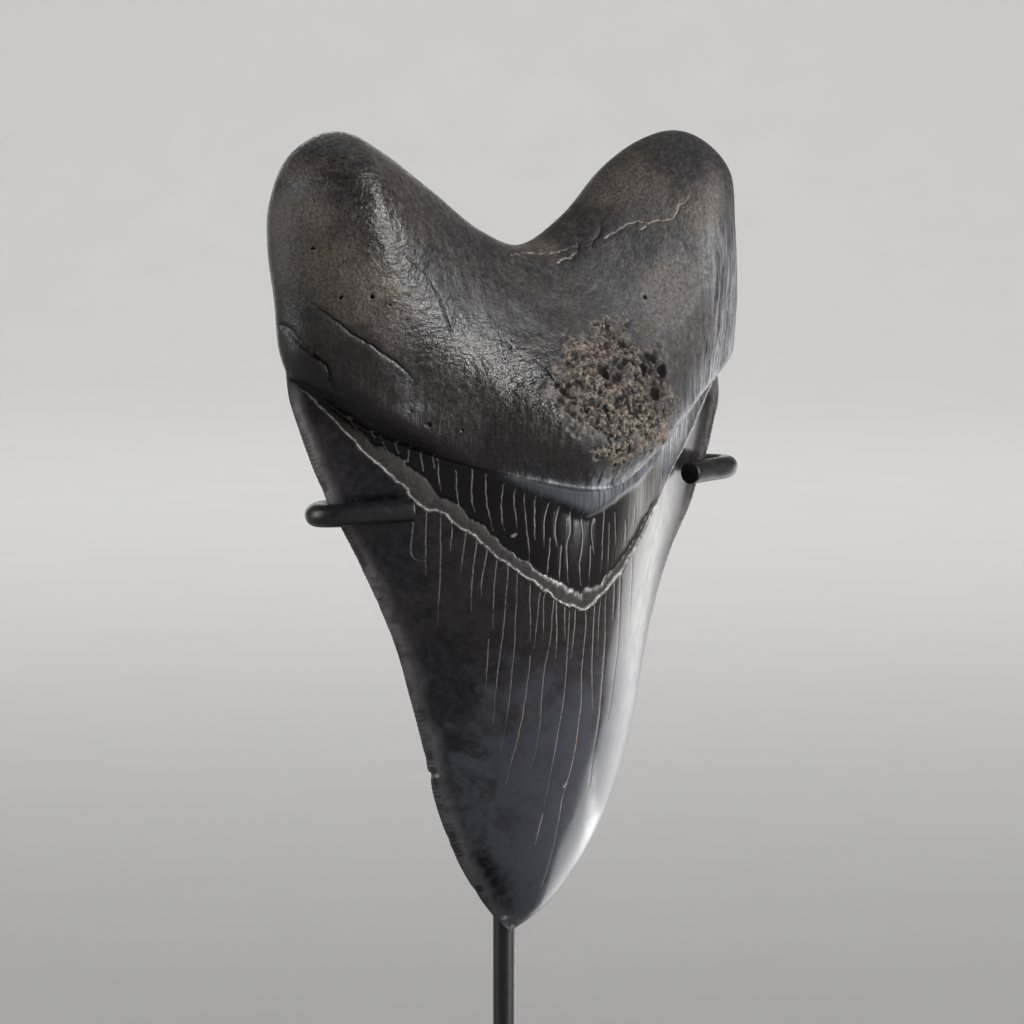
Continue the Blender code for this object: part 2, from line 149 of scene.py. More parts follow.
tooth = {
    "leftEdge": [
        (-0.5, -1), (-4.2, 2.2), (-9.2, 8), (-13.9, 15), (-18.3, 24.4), (-21, 33.5), (-23.9, 42.5),
        (-26.8, 51.5), (-30.8, 60.5), (-35.3, 69.2), (-40, 78), (-43.7, 87), (-46, 95), (-46.4, 100)],
    "rightEdge": [
        (-0.5, -1), (4.5, 1.4), (9.2, 5), (14.9, 12.3), (19.5, 20.9), (22.5, 29.7), (24.6, 38.6),
        (26.4, 47.5), (28.9, 56.5), (32.5, 65), (37.6, 73.5), (41.8, 82.2), (44.8, 90.5), (45, 96)],
    "root": [
        (-46.4, 100), (-47.5, 104), (-48.2, 112), (-49.5, 121), (-49.1, 129), (-45.2, 137), (-37.2, 140.8),
        (-29.8, 138), (-18.5, 130.6), (-8.5, 123.6), (1.7, 120.2), (11.5, 125), (20.5, 133.4), (29, 138.2),
        (37, 139.1), (43.3, 133.5), (45.1, 122.6), (46.4, 110), (46, 101), (45, 96)],
    "lip": [
        (-52, 102), (-44.3, 97.8), (-39.3, 94.3), (-33.2, 89.8), (-26.2, 86.2), (-20.5, 84), (-14, 82),
        (-5.7, 79.8), (0, 79), (6, 79.3), (12, 81.3), (19, 84.5), (27, 88.5), (35, 93), (41, 96), (48, 97.5)],
    "enamel": [
        (-52, 101), (-47, 99.2), (-44.4, 97.4), (-41.7, 94.8), (-39.2, 92), (-36.3, 88.8), (-34.1, 86),
        (-32.8, 84.5), (-30.4, 82.3), (-28.3, 80), (-27.4, 78.4), (-25.2, 76.1), (-23.4, 75.9),
        (-20.8, 73.4), (-17.8, 71), (-15.3, 68.2), (-11.9, 65.5), (-9.8, 63.8), (-7, 61.8), (-4, 59.7),
        (-1.8, 59), (0.3, 58.3), (2.7, 59.9), (5, 61.3), (6.7, 63.1), (8.9, 64), (11.1, 66.1), (13.3, 67.8),
        (16.1, 70.1), (19.4, 73.3), (23.7, 76.2), (27, 79), (31.2, 81.8), (36, 86), (40, 90.5), (45, 96),
        (48, 97)],
    "apron": [
        (-60, 100), (-20, 85), (-16, 82.3), (-12, 79.5), (-9.2, 78.2), (-6.4, 77.2), (-3.4, 76), (0, 74.7),
        (2.9, 75.6), (6.3, 77.1), (10.2, 78.7), (14.8, 80), (17.5, 81.2), (22, 83.5), (60, 100)],
    "front": [(0, 0), (5, 3), (15, 6.5), (30, 10.5), (45, 14), (57, 17.5), (75, 21), (110, 23)],
    "back": [(0, 0), (5, 1.2), (20, 2.4), (60, 3.4), (110, 4.5)],
    "thinning": [(0, 1.1), (40, 1.2), (60, 1.45), (80, 1.8), (110, 1.8)],
    "backThinning": 1.1,
    "shoulder": 97.0,        # the cutting edges end here
    "bow": -3.5,
    "bowTop": 95.0,
    "edgeHalf": 0.3,
    "rim": 14.0,             # the root reaches its full depth this far in
    "lipWidth": 4.0,
    "sideDepth": 10.0,
    "ridges": [[(-41, 134), (-34, 119), (-25, 108), (-10, 98), (5, 92)],
               [(38, 128), (31, 113), (20, 101), (5, 92)]],
    "ridgeHeight": 5.0,
    "ridgeWidth": 13.0,
    "bulgeAt": (3.0, 88.0),
    "bulgeSpread": (22.0, 15.0),
    "bulgeHeight": 10.0,
    "backDepth": 8.0,
    "backRise": (86, 108),
    # finer than the solid
    "edgeStep": 0.24,
    "rootStep": 0.4,
    "frontStep": 0.52,
    "backStep": 0.85,
    "rimRows": 9,
    "rimTurn": 30.0,
    "edgeRim": 1.9,
    "serration": 0.8,        # one tooth of the cutting edge
    "serrationDeep": 0.13,
    "nick": (28.8, 0.6, 0.6),   # low on the left edge: height, reach, depth
}

leftCurve = smoothCurve(tooth["leftEdge"])
rightCurve = smoothCurve(tooth["rightEdge"])
rootCurve = smoothCurve(tooth["root"])
lipCurve = smoothCurve(tooth["lip"])
enamelCurve = smoothCurve(tooth["enamel"])
frontCurve = smoothCurve(tooth["front"])
backCurve = smoothCurve(tooth["back"])
ridgeCurves = [smoothCurve(ridge) for ridge in tooth["ridges"]]


def edgeSheet(z):
    # plane of the cutting edges, bowed a little forward half way up
    return tooth["bow"] * np.sin(np.clip(z / tooth["bowTop"], 0, 1) * math.pi)


def across(x, z):
    # -1 on the left cutting edge, 1 on the right one
    low = readOff(leftCurve[:, ::-1], z)
    high = readOff(rightCurve[:, ::-1], z)
    return np.clip((2 * x - low - high) / np.maximum(high - low, 1e-6), -1, 1)


def roundedRim(inset):
    return np.sqrt(1 - (1 - np.clip(inset / tooth["rim"], 0, 1))**2)


def edgeBody(inset):
    return tooth["edgeHalf"] * (1 - np.exp(-inset / 0.6))


def frontDepth(x, z, inset):
    crown = readOff(frontCurve, z) * (1 - across(x, z)**2)**readOff(tooth["thinning"], z)
    offRidge = 1.0
    for ridge in ridgeCurves:
        apart = toLine(np.stack([x, z], 1), ridge)[0]
        offRidge = offRidge * (1 - np.exp(-(apart / tooth["ridgeWidth"])**2))
    bulgeX, bulgeZ = tooth["bulgeAt"]
    wide, tall = tooth["bulgeSpread"]
    bulge = ((x - bulgeX) / wide)**2 + ((z - bulgeZ) / tall)**2
    full = tooth["sideDepth"] + tooth["ridgeHeight"] * (1 - offRidge) + tooth["bulgeHeight"] * np.exp(-bulge)
    root = full * roundedRim(inset)
    lipHeight = readOff(lipCurve, x)
    above = np.clip((z - lipHeight) / tooth["lipWidth"], 0, 1)
    neckWidth = lipHeight - readOff(enamelCurve, x)
    crown = crown - neckDrop(x, z) * ramp(inset, 1, 5) * ramp(neckWidth, 0.8, 4)
    return edgeBody(inset) + crown + (root - crown) * np.sqrt(1 - (1 - above)**2)


def backDepth(x, z, inset):
    crown = readOff(backCurve, z) * (1 - across(x, z)**2)**tooth["backThinning"]
    root = tooth["backDepth"] * roundedRim(inset)
    return edgeBody(inset) + crown + (root - crown) * ramp(z, *tooth["backRise"])


# borders between root, bare neck and enamel

border = {
    # width of the worn slope by x
    "bevelWidth": [(-46, 0.8), (-38, 1.5), (-33, 2.2), (-28, 3.0), (-20, 2.7), (-12, 2.0), (-6, 2.1),
                   (1, 2.2), (3.5, 1.3), (7, 1.0), (14, 0.7), (30, 0.6)],
    "ragged": 0.26,
    "steps": (0.3, 0.6, 0.25),   # depth of the enamel's edge, of the worn slope and of the neck's own step
}


def flatPoints(x, z):
    return np.stack([x, np.zeros(len(x)), z], 1)


def aboveLine(x, z, curve):
    # distance from a border, negative below it
    apart = toLine(np.stack([x, z], 1), curve)[0]
    return np.where(z > readOff(curve, x), apart, -apart)


def aboveEnamel(x, z):
    f = flatPoints(x, z)
    ragged = border["ragged"] * (0.6 * cloud(f, 1.6, 11) + 0.6 * cloud(f, 0.7, 12))
    return aboveLine(x, z, enamelCurve) + ragged


def bevelSpan(x, z):
    # width of the worn slope above the enamel's edge, ragged at its upper side
    f = flatPoints(x, z)
    ragged = 1 + 0.2 * cloud(f, 3.0, 13) + 0.1 * cloud(f, 1.1, 14)
    return readOff(border["bevelWidth"], x) * ragged + 0.08 * cloud(f, 0.6, 15)


def apronShare(x, z):
    # smooth grey tongue that hangs below the middle of the lip
    low = readOff(tooth["apron"], x) + 0.25 * cloud(flatPoints(x, z), 1.3, 17)
    return ramp(z, low - 0.9, low + 0.9) * ramp(x, -20, -13)


def neckDrop(x, z):
    # how far the bare neck lies below the enamel
    up = aboveEnamel(x, z)
    width = bevelSpan(x, z)
    edge, slope, step = border["steps"]
    worn = edge * ramp(up, -0.05, 0.12) + slope * np.clip(up / width, 0, 1)
    worn = worn + step * ramp(up, width - 0.2, width + 0.2)
    return worn * (1 - 0.98 * apronShare(x, z)) * (1 - ramp(x, 16, 24))


# cracks, each a short line of points on the front

cracks = {
    # fine pale cracks of the bare neck, top to bottom
    "neck": [
        [(-37, 93), (-35.2, 90.3)], [(-33.3, 90.1), (-32.4, 88.7)], [(-31.9, 89.2), (-30.5, 85.9)],
        [(-29.7, 87.9), (-28.9, 86)], [(-27.8, 86.9), (-27.6, 84.7)], [(-26.2, 86.4), (-25.5, 82.9)],
        [(-24.5, 85.5), (-24.1, 83.6)], [(-23.8, 85.1), (-23, 79.6)], [(-21.1, 82.9), (-20.5, 76.8)],
        [(-18.8, 83.6), (-18.8, 78.9), (-18.3, 75.8)], [(-17, 82.4), (-16.8, 78), (-15.7, 72.7)],
        [(-14.4, 81.1), (-14.4, 74.9), (-13.9, 72.5)], [(-12.7, 81.1), (-12.7, 77.3), (-12, 72.5)],
        [(-11.3, 79), (-10.5, 72.8), (-9.8, 67.2)], [(-9.6, 78.8), (-9.2, 71.1)],
        [(-6.9, 78.7), (-7.7, 74.1), (-7.6, 69.8)], [(-6.7, 71), (-6.9, 64.4)],
        [(-5.3, 76.6), (-5.9, 73.2), (-5.6, 69.7)], [(-4.7, 69.4), (-4.7, 63.9)],
        [(-3.4, 76.5), (-3.1, 72.6), (-3.7, 69.1), (-2.8, 62.9)],
        [(-1.1, 75.6), (-0.6, 70.9), (-1, 66.3), (-0.2, 62.5)], [(1.6, 74), (1.2, 72.3), (2.1, 67.9)],
        [(1.1, 69.3), (1.5, 63.2)], [(4.1, 75.2), (3.9, 70.6), (4.1, 64.2)], [(5.5, 72.8), (6, 64.4)],
        [(7, 74.7), (7.7, 68.8)], [(10.4, 72.9), (11.1, 68.4)], [(13.8, 74.8), (13.6, 71)]],
    # long pale cracks of the enamel
    "enamel": [
        [(-23.3, 75), (-23, 70.1), (-22.2, 60.4), (-21.8, 55.9)], [(-21.7, 73.4), (-21.7, 69.4)],
        [(-19.8, 72.6), (-19.9, 68.4), (-19.9, 65.3)], [(-18.2, 71.1), (-18.3, 65.1), (-17.8, 58.7)],
        [(-16.7, 68.9), (-17, 63.8), (-16.7, 61.2)], [(-15.2, 67.5), (-15.2, 63.5), (-14.5, 55.5)],
        [(-14.7, 53.4), (-14, 45.3)],
        [(-13.5, 65.6), (-13.3, 60.5), (-12.9, 54.3), (-12.7, 48.5), (-12.2, 38.8)],
        [(-12.1, 65.3), (-11.8, 60.5), (-10.7, 49.6), (-10.2, 39.5), (-10.3, 33.4)],
        [(-10.1, 63.6), (-8.8, 53.3)], [(-8.2, 50.4), (-7.9, 44.9), (-7.9, 37.1), (-8.6, 27.1)],
        [(-8.2, 62.4), (-8.3, 59.5), (-7.9, 51.9)], [(-7.4, 61.8), (-7.5, 60.1), (-6.7, 53.3)],
        [(-5.9, 60.9), (-5.5, 52.7), (-5.4, 46.8), (-4.6, 37), (-4.7, 30.3)], [(-5.4, 60.3), (-3.9, 49.9)],
        [(-3.8, 59.2), (-2.8, 53.1)],
        [(-2.8, 59.1), (-2.1, 52.5), (-1, 43.4), (-1, 36), (-1, 27.7), (-0.9, 22.9)],
        [(-0.9, 21.2), (-1.1, 16)], [(-1.6, 58.5), (-1.2, 53), (-1, 49.7)],
        [(0.6, 58), (1, 55.5), (1.7, 48.3), (3, 41.1), (3.3, 30.9), (2.6, 24.6), (2.8, 19.4), (3.2, 12.4),
         (2.9, 7.5)], [(2.6, 59.4), (3.2, 52.6), (6.1, 40.1)], [(3.9, 60.2), (4, 56.1), (5.1, 50.3)],
        [(5.2, 61.1), (5.4, 57.8), (7.4, 47.7), (8.4, 38.2), (8.5, 31.8), (9.1, 25.8)],
        [(7.2, 62.8), (8.2, 56)], [(8.8, 63.6), (9.7, 59.1), (11.6, 47.1), (11.4, 37.4)],
        [(12.5, 67.2), (14.3, 58.4), (15, 53.9)],
        [(-26.9, 73.5), (-26.8, 70), (-26.5, 68.1), (-25.7, 67.4), (-24.6, 67.3)],
        [(-25.2, 75.3), (-25, 70.9), (-24.4, 64.8)]],
    # open cracks of the root
    "root": [
        [(-46.4, 112.6), (-45.6, 111.9), (-42.8, 109.2), (-39.9, 106.5), (-36.4, 104.1), (-32.5, 101.5),
         (-30, 98.8)],
        [(-49.5, 111), (-48.3, 108.5), (-46.4, 105), (-43.8, 101.9), (-42.4, 99), (-40.9, 96.9)],
        [(-34.1, 120.9), (-31, 119.1), (-28.3, 117.1), (-27, 115.5)],
        [(-27, 115.5), (-25.3, 111.9), (-24.2, 108.3), (-23.4, 106.1)],
        [(-23.4, 106.1), (-19.5, 103.8), (-18.2, 101.6), (-17.3, 98.6)], [(-13.5, 105.6), (-11.9, 103.8)],
        [(-8.2, 102.3), (-6.3, 99.4), (-4.8, 96.7)], [(8.8, 119.1), (9.6, 120.2)],
        [(11, 119.2), (11.9, 120.7), (13.3, 121.9), (14.3, 123.1)]],
    "rootPale": [
        [(-4.4, 119.2), (-2.1, 119), (0.2, 119.2), (2, 119), (5.4, 119.1), (8.1, 119.8), (10.4, 120)],
        [(4.6, 117.3), (6.1, 117.8), (7.2, 118), (8.8, 119.1)],
        [(14.2, 121.3), (15.9, 122.4), (17.6, 123.4), (19.4, 123.9), (22.4, 124.5)],
        [(20.2, 122.8), (22.1, 123.9), (23.8, 124.6), (25.1, 124.7), (27.3, 126.7), (29.2, 128.3)],
        [(13.4, 108.6), (13.9, 107.4)]],
    "rootStrength": [0.9, 1.7, 0.35, 0.75, 0.3, 0.7, 0.75, 0.8, 0.55],
    # a round hole and a few small ones: x, z, radius and depth
    "holes": [
        (18.3, 111.2, 0.42, 1.2), (-42.7, 113.3, 0.3, 0.7), (-38.3, 113.3, 0.3, 0.7),
        (-35.4, 111.9, 0.25, 0.5), (-30.1, 93.7, 0.3, 0.3), (-26.7, 91.1, 0.45, 0.5),
        (-21.4, 90.1, 0.3, 0.3), (-46.6, 121.5, 0.3, 0.4)],
}

# of each kind: spacing of a line's points, sway, first seed, half width, and the mesh rows beside it
crackKinds = {
    "root": {"spacing": 0.3, "sway": 0.14, "seed": 160, "reach": 0.3, "rows": (0, -0.16, 0.16, -0.36, 0.36)},
    "rootPale": {"spacing": 0.3, "sway": 0.3, "seed": 180, "reach": 0.24,
                 "rows": (0, -0.12, 0.12, -0.24, 0.24)},
    "neck": {"spacing": 0.5, "sway": 0.12, "seed": 30, "reach": 0.17, "rows": (0, -0.2, 0.2)},
    "enamel": {"spacing": 0.5, "sway": 0.06, "seed": 90, "reach": 0.14, "rows": (0, -0.17, 0.17)},
}


def wavyCrack(kind, number):
    line = cracks[kind][number]
    setup = crackKinds[kind]
    if kind == "enamel" and line[0][1] > 57:
        line = [(line[0][0] - 0.1, line[0][1] + 1.3), *line]   # it starts above the enamel's edge
    line = evenly(smoothCurve(line, 8), setup["spacing"])
    f = flatPoints(line[:, 0], line[:, 1])
    seed = setup["seed"] + 2 * number
    shift = setup["sway"] * (cloud(f, 2.4, seed) + 0.7 * cloud(f, 0.8, seed + 1))
    return beside(line, shift[:, None])


crackLines = {kind: [wavyCrack(kind, k) for k in range(len(cracks[kind]))] for kind in crackKinds}


def crackField(points, kind):
    # 1 on a crack's line, falling to 0 at its reach
    lines = crackLines[kind]
    start = np.concatenate([line[:-1] for line in lines])
    end = np.concatenate([line[1:] for line in lines])
    apart, pick = toSegments(points, start, end)
    if kind == "root":
        strong = cracks["rootStrength"]
    else:
        strong = 0.7 + 0.3 * np.random.default_rng(8).random(len(lines))
    strength = []
    for line, most in zip(lines, strong):
        done = np.arange(len(line) - 1) / len(line)
        if kind == "root":
            fade = np.clip(np.minimum(done, 1 - done) / 0.2, 0.3, 1)   # thin at both ends
        else:
            fade = np.clip((1 - done) / 0.3, 0.6, 1)   # dying away at the foot
        strength.append(most * fade)
    return np.clip(1 - apart / crackKinds[kind]["reach"], 0, 1) * np.concatenate(strength)[pick]


# spongy patch: seeded pits, many small and some wide

patch = {
    "at": (8.2, 95.2),
    "spread": (14.5, 12.2),
    "count": 1500,
    "radius": (0.2, 0.62),
    "deep": 1.25,
    "hollows": [(17, 101.6, 1.6), (15.6, 94.8, 1.4), (19, 98.5, 1.5), (5, 99, 1.0), (19.5, 102, 1.2),
                (-4.5, 96.3, 0.8), (3, 93, 0.8), (16.5, 105, 1.0), (14, 99, 1.1), (17.5, 91.5, 0.9),
                (11, 103.5, 0.8)],   # x, z, radius
}
patchX, patchZ = patch["at"]
patchWide, patchTall = patch["spread"]


def patchShare(x, z):
    away = np.sqrt(((x - patchX) / patchWide)**2 + ((z - patchZ) / patchTall)**2)
    f = flatPoints(x, z)
    return 1 - ramp(away + 0.22 * cloud(f, 4.0, 71) + 0.2 * cloud(f, 1.2, 72), 0.72, 1.02)


def pitField(x, z):
    # depth in millimetres of many irregular little pits, crowded together
    dice = np.random.default_rng(5)
    count = patch["count"]
    away = dice.random(count)**0.55 * 1.08
    turn = dice.random(count) * 2 * math.pi
    low, high = patch["radius"]
    hollows = np.array(patch["hollows"])
    pitX = np.append(patchX + patchWide * away * np.cos(turn), hollows[:, 0])
    pitZ = np.append(patchZ + patchTall * away * np.sin(turn), hollows[:, 1])
    radius = np.append(low + (high - low) * dice.random(count)**1.5, hollows[:, 2])
    deep = np.zeros(len(x))
    near = (np.abs(x - patchX) < patchWide * 1.25) & (np.abs(z - patchZ) < patchTall * 1.25)
    near = np.nonzero(near)[0]
    f = flatPoints(x[near], z[near])
    warpX = x[near] + 0.5 * cloud(f, 1.1, 73) + 0.25 * cloud(f, 0.5, 74)
    warpZ = z[near] + 0.5 * cloud(f, 1.1, 75) + 0.25 * cloud(f, 0.5, 76)
    for first in range(0, len(near), batch):
        rows = slice(first, first + batch)
        gap = np.sqrt((warpX[rows, None] - pitX)**2 + (warpZ[rows, None] - pitZ)**2) / radius
        deep[near[rows]] = (np.clip(1 - gap**2, 0, 1)**0.6 * radius).max(1)
    return deep


# fine points of the mesh

def toothOutline(edgeStep, rootStep):
    left = evenly(leftCurve, edgeStep)
    root = evenly(rootCurve, rootStep)
    right = evenly(rightCurve[::-1], edgeStep)
    return np.concatenate([left[:-1], root[:-1], right[:-1]])


def sawDepth(outline):
    # small worn saw teeth of the cutting edges, fading out at the tip and the shoulders
    f = flatPoints(outline[:, 0], outline[:, 1])
    along = np.concatenate([[0], np.cumsum(np.linalg.norm(np.diff(outline, axis=0), axis=1))])
    saw = 0.5 - 0.5 * np.cos(2 * math.pi * (along / tooth["serration"] + 0.4 * cloud(f, 7.0, 3)))
    ends = ramp(outline[:, 1], 3, 9) * (1 - ramp(outline[:, 1], 88, 95))
    deep = tooth["serrationDeep"] * saw * np.clip(0.6 + 0.7 * cloud(f, 5.0, 4), 0.1, 1.2)
    deep = deep + 0.3 * np.clip(layered(f, 4.0, 5), 0, 1)
    nickAt, nickReach, nickDeep = tooth["nick"]
    nick = np.where(outline[:, 0] < 0, np.exp(-((outline[:, 1] - nickAt) / nickReach)**2), 0)
    return (deep + nickDeep * nick) * ends


def inwardNormals(outline):
    along = np.roll(outline, -1, axis=0) - np.roll(outline, 1, axis=0)
    along /= np.linalg.norm(along, axis=1)[:, None]
    return np.stack([along[:, 1], -along[:, 0]], axis=1)


def hexGrid(low, high, step):
    x, z = np.meshgrid(np.arange(low[0], high[0], step), np.arange(low[1], high[1], step * 0.866))
    x[1::2] += step / 2
    return np.stack([x.ravel(), z.ravel()], 1)


def thinned(groups):
    # groups of points, each with its clearance: a point too close to an earlier group's is left out
    kept = np.zeros((0, 2))
    for points, clear in groups:
        if len(kept):
            cells = {}
            for k, (a, b) in enumerate(np.floor(kept).astype(int)):
                cells.setdefault((a, b), []).append(k)
            keep = []
            for p, (a, b) in zip(points, np.floor(points).astype(int)):
                near = [k for i in (-1, 0, 1) for j in (-1, 0, 1) for k in cells.get((a + i, b + j), ())]
                keep.append(not near or ((kept[near] - p)**2).sum(1).min() > clear**2)
            points = points[np.array(keep, bool)]
        kept = np.concatenate([kept, points])
    return kept


def rowsBeside(line, offsets, step, clear):
    return [(evenly(beside(evenly(line, 0.8), offset), step), clear) for offset in offsets]


def squaresOver(spots, half, step, clear):
    return [(hexGrid((x - half, z - half), (x + half, z + half), step), clear) for x, z, *rest in spots]


def detailPoints():
    # extra points on the front, the most important first
    groups = []
    for kind, setup in crackKinds.items():
        for offset in setup["rows"]:
            groups.append((np.concatenate([beside(line, offset) for line in crackLines[kind]]), 0.11))
    groups += rowsBeside(enamelCurve, (-0.55, -0.28, -0.08, 0.1, 0.28, 0.55, 0.9, 1.4), 0.4, 0.16)
    groups += rowsBeside(lipCurve, (-0.5, -0.15, 0.02, 0.12, 0.3, 0.6, 1.0, 1.6, 2.4), 0.5, 0.12)
    groups += squaresOver(cracks["holes"], 0.8, 0.2, 0.12)
    groups += squaresOver(chips, 1, 0.25, 0.15)
    groups += rowsBeside(smoothCurve(tooth["apron"][1:-1]), (-0.5, -0.2, 0.0, 0.2, 0.5), 0.5, 0.16)
    middle, reach = np.array(patch["at"]), np.array(patch["spread"]) * 1.15
    groups.append((hexGrid(middle - reach, middle + reach, 0.32), 0.2))
    return groups


def insideOutline(points, outline, normals, reach, margin):
    apart, nearest = toLine(points, outline, closed=True)
    side = ((points - outline[nearest]) * normals[nearest]).sum(1)
    return points[(side > 0) & (apart > reach[nearest] + margin[nearest])]


def rimRings(outline, normals, saw):
    # rings of points just inside the outline, and how far in each point lies
    onRoot = ramp(outline[:, 1], tooth["shoulder"], tooth["shoulder"] + 10)
    for row in range(1, tooth["rimRows"] + 1):
        share = row / tooth["rimRows"]
        roundReach = tooth["rim"] * (1 - math.cos(math.radians(tooth["rimTurn"]) * share))
        inset = (1 - onRoot) * tooth["edgeRim"] * share**1.2 + onRoot * roundReach
        yield outline + normals * (inset + saw * (1 - share)**2)[:, None], inset


def filledRing(ring, inner):
    # flat region inside the ring: points, triangles, and each point's number on the ring or -1
    count = len(ring)
    edges = [(i, (i + 1) % count) for i in range(count)]
    flat = [Vector(p) for p in np.concatenate([ring, inner])]
    made, _, triangles, origin, _, _ = delaunay_2d_cdt(flat, edges, [], 1, 1e-7)
    onRing = [first[0] if first and first[0] < count else -1 for first in origin]
    return np.array([tuple(v) for v in made]), triangles, onRing


def toothSurface():
    # two height fields that share one outline: rows of quads along the rim, triangles inside them
    outline = toothOutline(tooth["edgeStep"], tooth["rootStep"])
    plain = toothOutline(1.0, 1.0)
    normals = inwardNormals(outline)
    saw = sawDepth(outline)
    count = len(outline)
    step = np.linalg.norm(np.roll(outline, -1, axis=0) - outline, axis=1)
    notched = outline + normals * saw[:, None]
    vertices = [np.c_[notched[:, 0], edgeSheet(notched[:, 1]), notched[:, 1]]]
    sides = [np.zeros(count)]
    insets = [np.zeros(count)]
    faces = []
    total = count
    for side, depth, spacing in ((-1, frontDepth, tooth["frontStep"]), (1, backDepth, tooth["backStep"])):
        rows = [np.arange(count)]
        for ring, inset in rimRings(outline, normals, saw):
            y = edgeSheet(ring[:, 1]) + side * depth(ring[:, 0], ring[:, 1], inset)
            vertices.append(np.c_[ring[:, 0], y, ring[:, 1]])
            sides.append(np.full(count, float(side)))
            insets.append(inset)
            rows.append(np.arange(total, total + count))
            total += count
        for low, high in zip(rows, rows[1:]):
            for i in range(count):
                j = (i + 1) % count
                quad = (low[i], low[j], high[j], high[i])
                faces.append(quad if side > 0 else quad[::-1])
        groups = detailPoints() if side < 0 else []
        groups.append((hexGrid(outline.min(0), outline.max(0), spacing), 0.66 * spacing))
        inner = insideOutline(thinned(groups), outline, normals, inset, 0.6 * np.maximum(step, 0.4))
        at, triangles, onRing = filledRing(ring, inner)
        deep = toLine(at, plain, closed=True)[0]
        y = edgeSheet(at[:, 1]) + side * depth(at[:, 0], at[:, 1], deep)
        number = []
        fresh = []
        for i, place in enumerate(onRing):
            if place < 0:
                number.append(total + len(fresh))
                fresh.append(i)
            else:
                number.append(rows[-1][place])
        total += len(fresh)
        vertices.append(np.c_[at[fresh, 0], y[fresh], at[fresh, 1]])
        sides.append(np.full(len(fresh), float(side)))
        insets.append(deep[fresh])
        for triangle in triangles:
            corners = [number[k] for k in triangle]
            faces.append(corners if side < 0 else corners[::-1])
    return np.concatenate(vertices), faces, np.concatenate(sides), np.concatenate(insets), outline, saw


# marks on the front, as x, z, reach and strength

stains = [(-33, 80, 5, 0.9), (-29, 69, 4.5, 0.9), (-23.5, 57, 4, 0.7), (-21, 51, 5, 0.9), (-18.6, 42.6, 5, 1),
          (-17, 35.3, 3.2, 0.8), (-14, 47, 3.5, 0.6), (-25, 63, 4, 0.6), (-10.6, 16.6, 1.5, 0.35),
          (-9.8, 14.6, 1.8, 0.5), (-8.8, 12.6, 2, 0.6), (-7.6, 10.6, 2, 0.6), (-6.4, 8.6, 2.1, 0.6),
          (-5, 6.6, 2.2, 0.55), (-3.4, 4.6, 2.2, 0.5), (-1.8, 2.6, 2.2, 0.4), (-36, 88, 4, 0.6)]
# brown-gold grain spots, mostly on the lobe flanks; their lightness there is partly painted light on the
# flanks
brownSpotsAndFlankLight = [(-49, 137, 6, 1), (-47, 127, 6, 1), (-46, 119, 6, 1), (-41.5, 113, 7, 1), (-35, 108, 6, 0.8),
              (2.7, 121, 4, 1), (18, 131, 8, 0.8), (33, 127, 6, 0.6), (22, 112, 6, 0.5)]
darkSpots = [(17, 101.5, 5, 1), (15.5, 95, 5, 1), (19, 98, 5, 1), (8, 99.5, 3.5, 0.8), (-3, 95.5, 3.5, 0.7),
             (11, 104, 3.5, 0.6)]
chips = [(-12.6, 71.6, 0.34), (-12.3, 71.9, 0.25), (2.3, 26.2, 0.26), (2.7, 26.6, 0.2), (-18.6, 28.8, 0.45),
         (-2.4, 1.8, 0.5)]   # x, z, reach
glossLine = smoothCurve([(-42, 140), (-41, 134), (-38.9, 128.9), (-36, 122), (-32.8, 115.2), (-28, 109),
                         (-23, 105.6), (-14.8, 101.5), (-7.2, 97)])
glossReach = 6
fibreLine = smoothCurve([(38.5, 117), (39, 108), (36.5, 97), (30, 89), (21.5, 83.5), (13, 80), (3, 78.5)])


def stainShare(x, z):
    share = np.zeros(len(x))
    for atX, atZ, reach, strength in stains:
        share = np.maximum(share, strength * np.exp(-(np.hypot(x - atX, z - atZ) / reach)**2))
    return np.clip(share + 0.35 * layered(flatPoints(x, z), 3.5, 81), 0, 1)


def spotShare(x, z, spots, seed):
    share = np.zeros(len(x))
    f = flatPoints(x, z)
    ragged = 0.3 * cloud(f, 5.0, seed) + 0.2 * cloud(f, 2.0, seed + 1)
    for atX, atZ, reach, strength in spots:
        away = np.hypot(x - atX, z - atZ) / reach + ragged
        share = np.maximum(share, strength * (1 - ramp(away, 0.3, 1.3)))
    return share


def edgeTicks(flat, insets, outline, saw):
    # dark gaps between the saw teeth, a little way in from the edge
    rim = np.nonzero((insets < 2.2) & (flat[:, 1] < tooth["shoulder"]))[0]
    tick = np.zeros(len(flat))
    tick[rim] = ramp(saw[toLine(flat[rim], outline, closed=True)[1]] / tooth["serrationDeep"], 0.35, 0.9)
    return tick * ramp(insets, 0.1, 0.4) * (1 - ramp(insets, 0.8, 1.5))


def holeFields(vertices, front):
    # share and depth of the small round holes, a little bent out of shape
    bentX = vertices[:, 0] + 0.22 * cloud(vertices, 0.7, 67)
    bentZ = vertices[:, 2] + 0.3 * cloud(vertices, 0.7, 68)
    share = np.zeros(len(vertices))
    depth = np.zeros(len(vertices))
    for holeX, holeZ, radius, deep in cracks["holes"]:
        hole = np.clip(1 - ((bentX - holeX)**2 + (bentZ - holeZ)**2) / radius**2, 0, 1) * front
        share = np.maximum(share, hole)
        depth = depth + deep * hole
    return share, depth


def meshObject(name, vertices, faces, sharpAngle=None):
    mesh = bpy.data.meshes.new(name)
    mesh.from_pydata([tuple(v) for v in vertices], [], [tuple(int(i) for i in f) for f in faces])
    mesh.update()
    mesh.shade_smooth()
    if sharpAngle:
        mesh.set_sharp_from_angle(angle=math.radians(sharpAngle))
    obj = bpy.data.objects.new(name, mesh)
    bpy.context.scene.collection.objects.link(obj)
    return obj


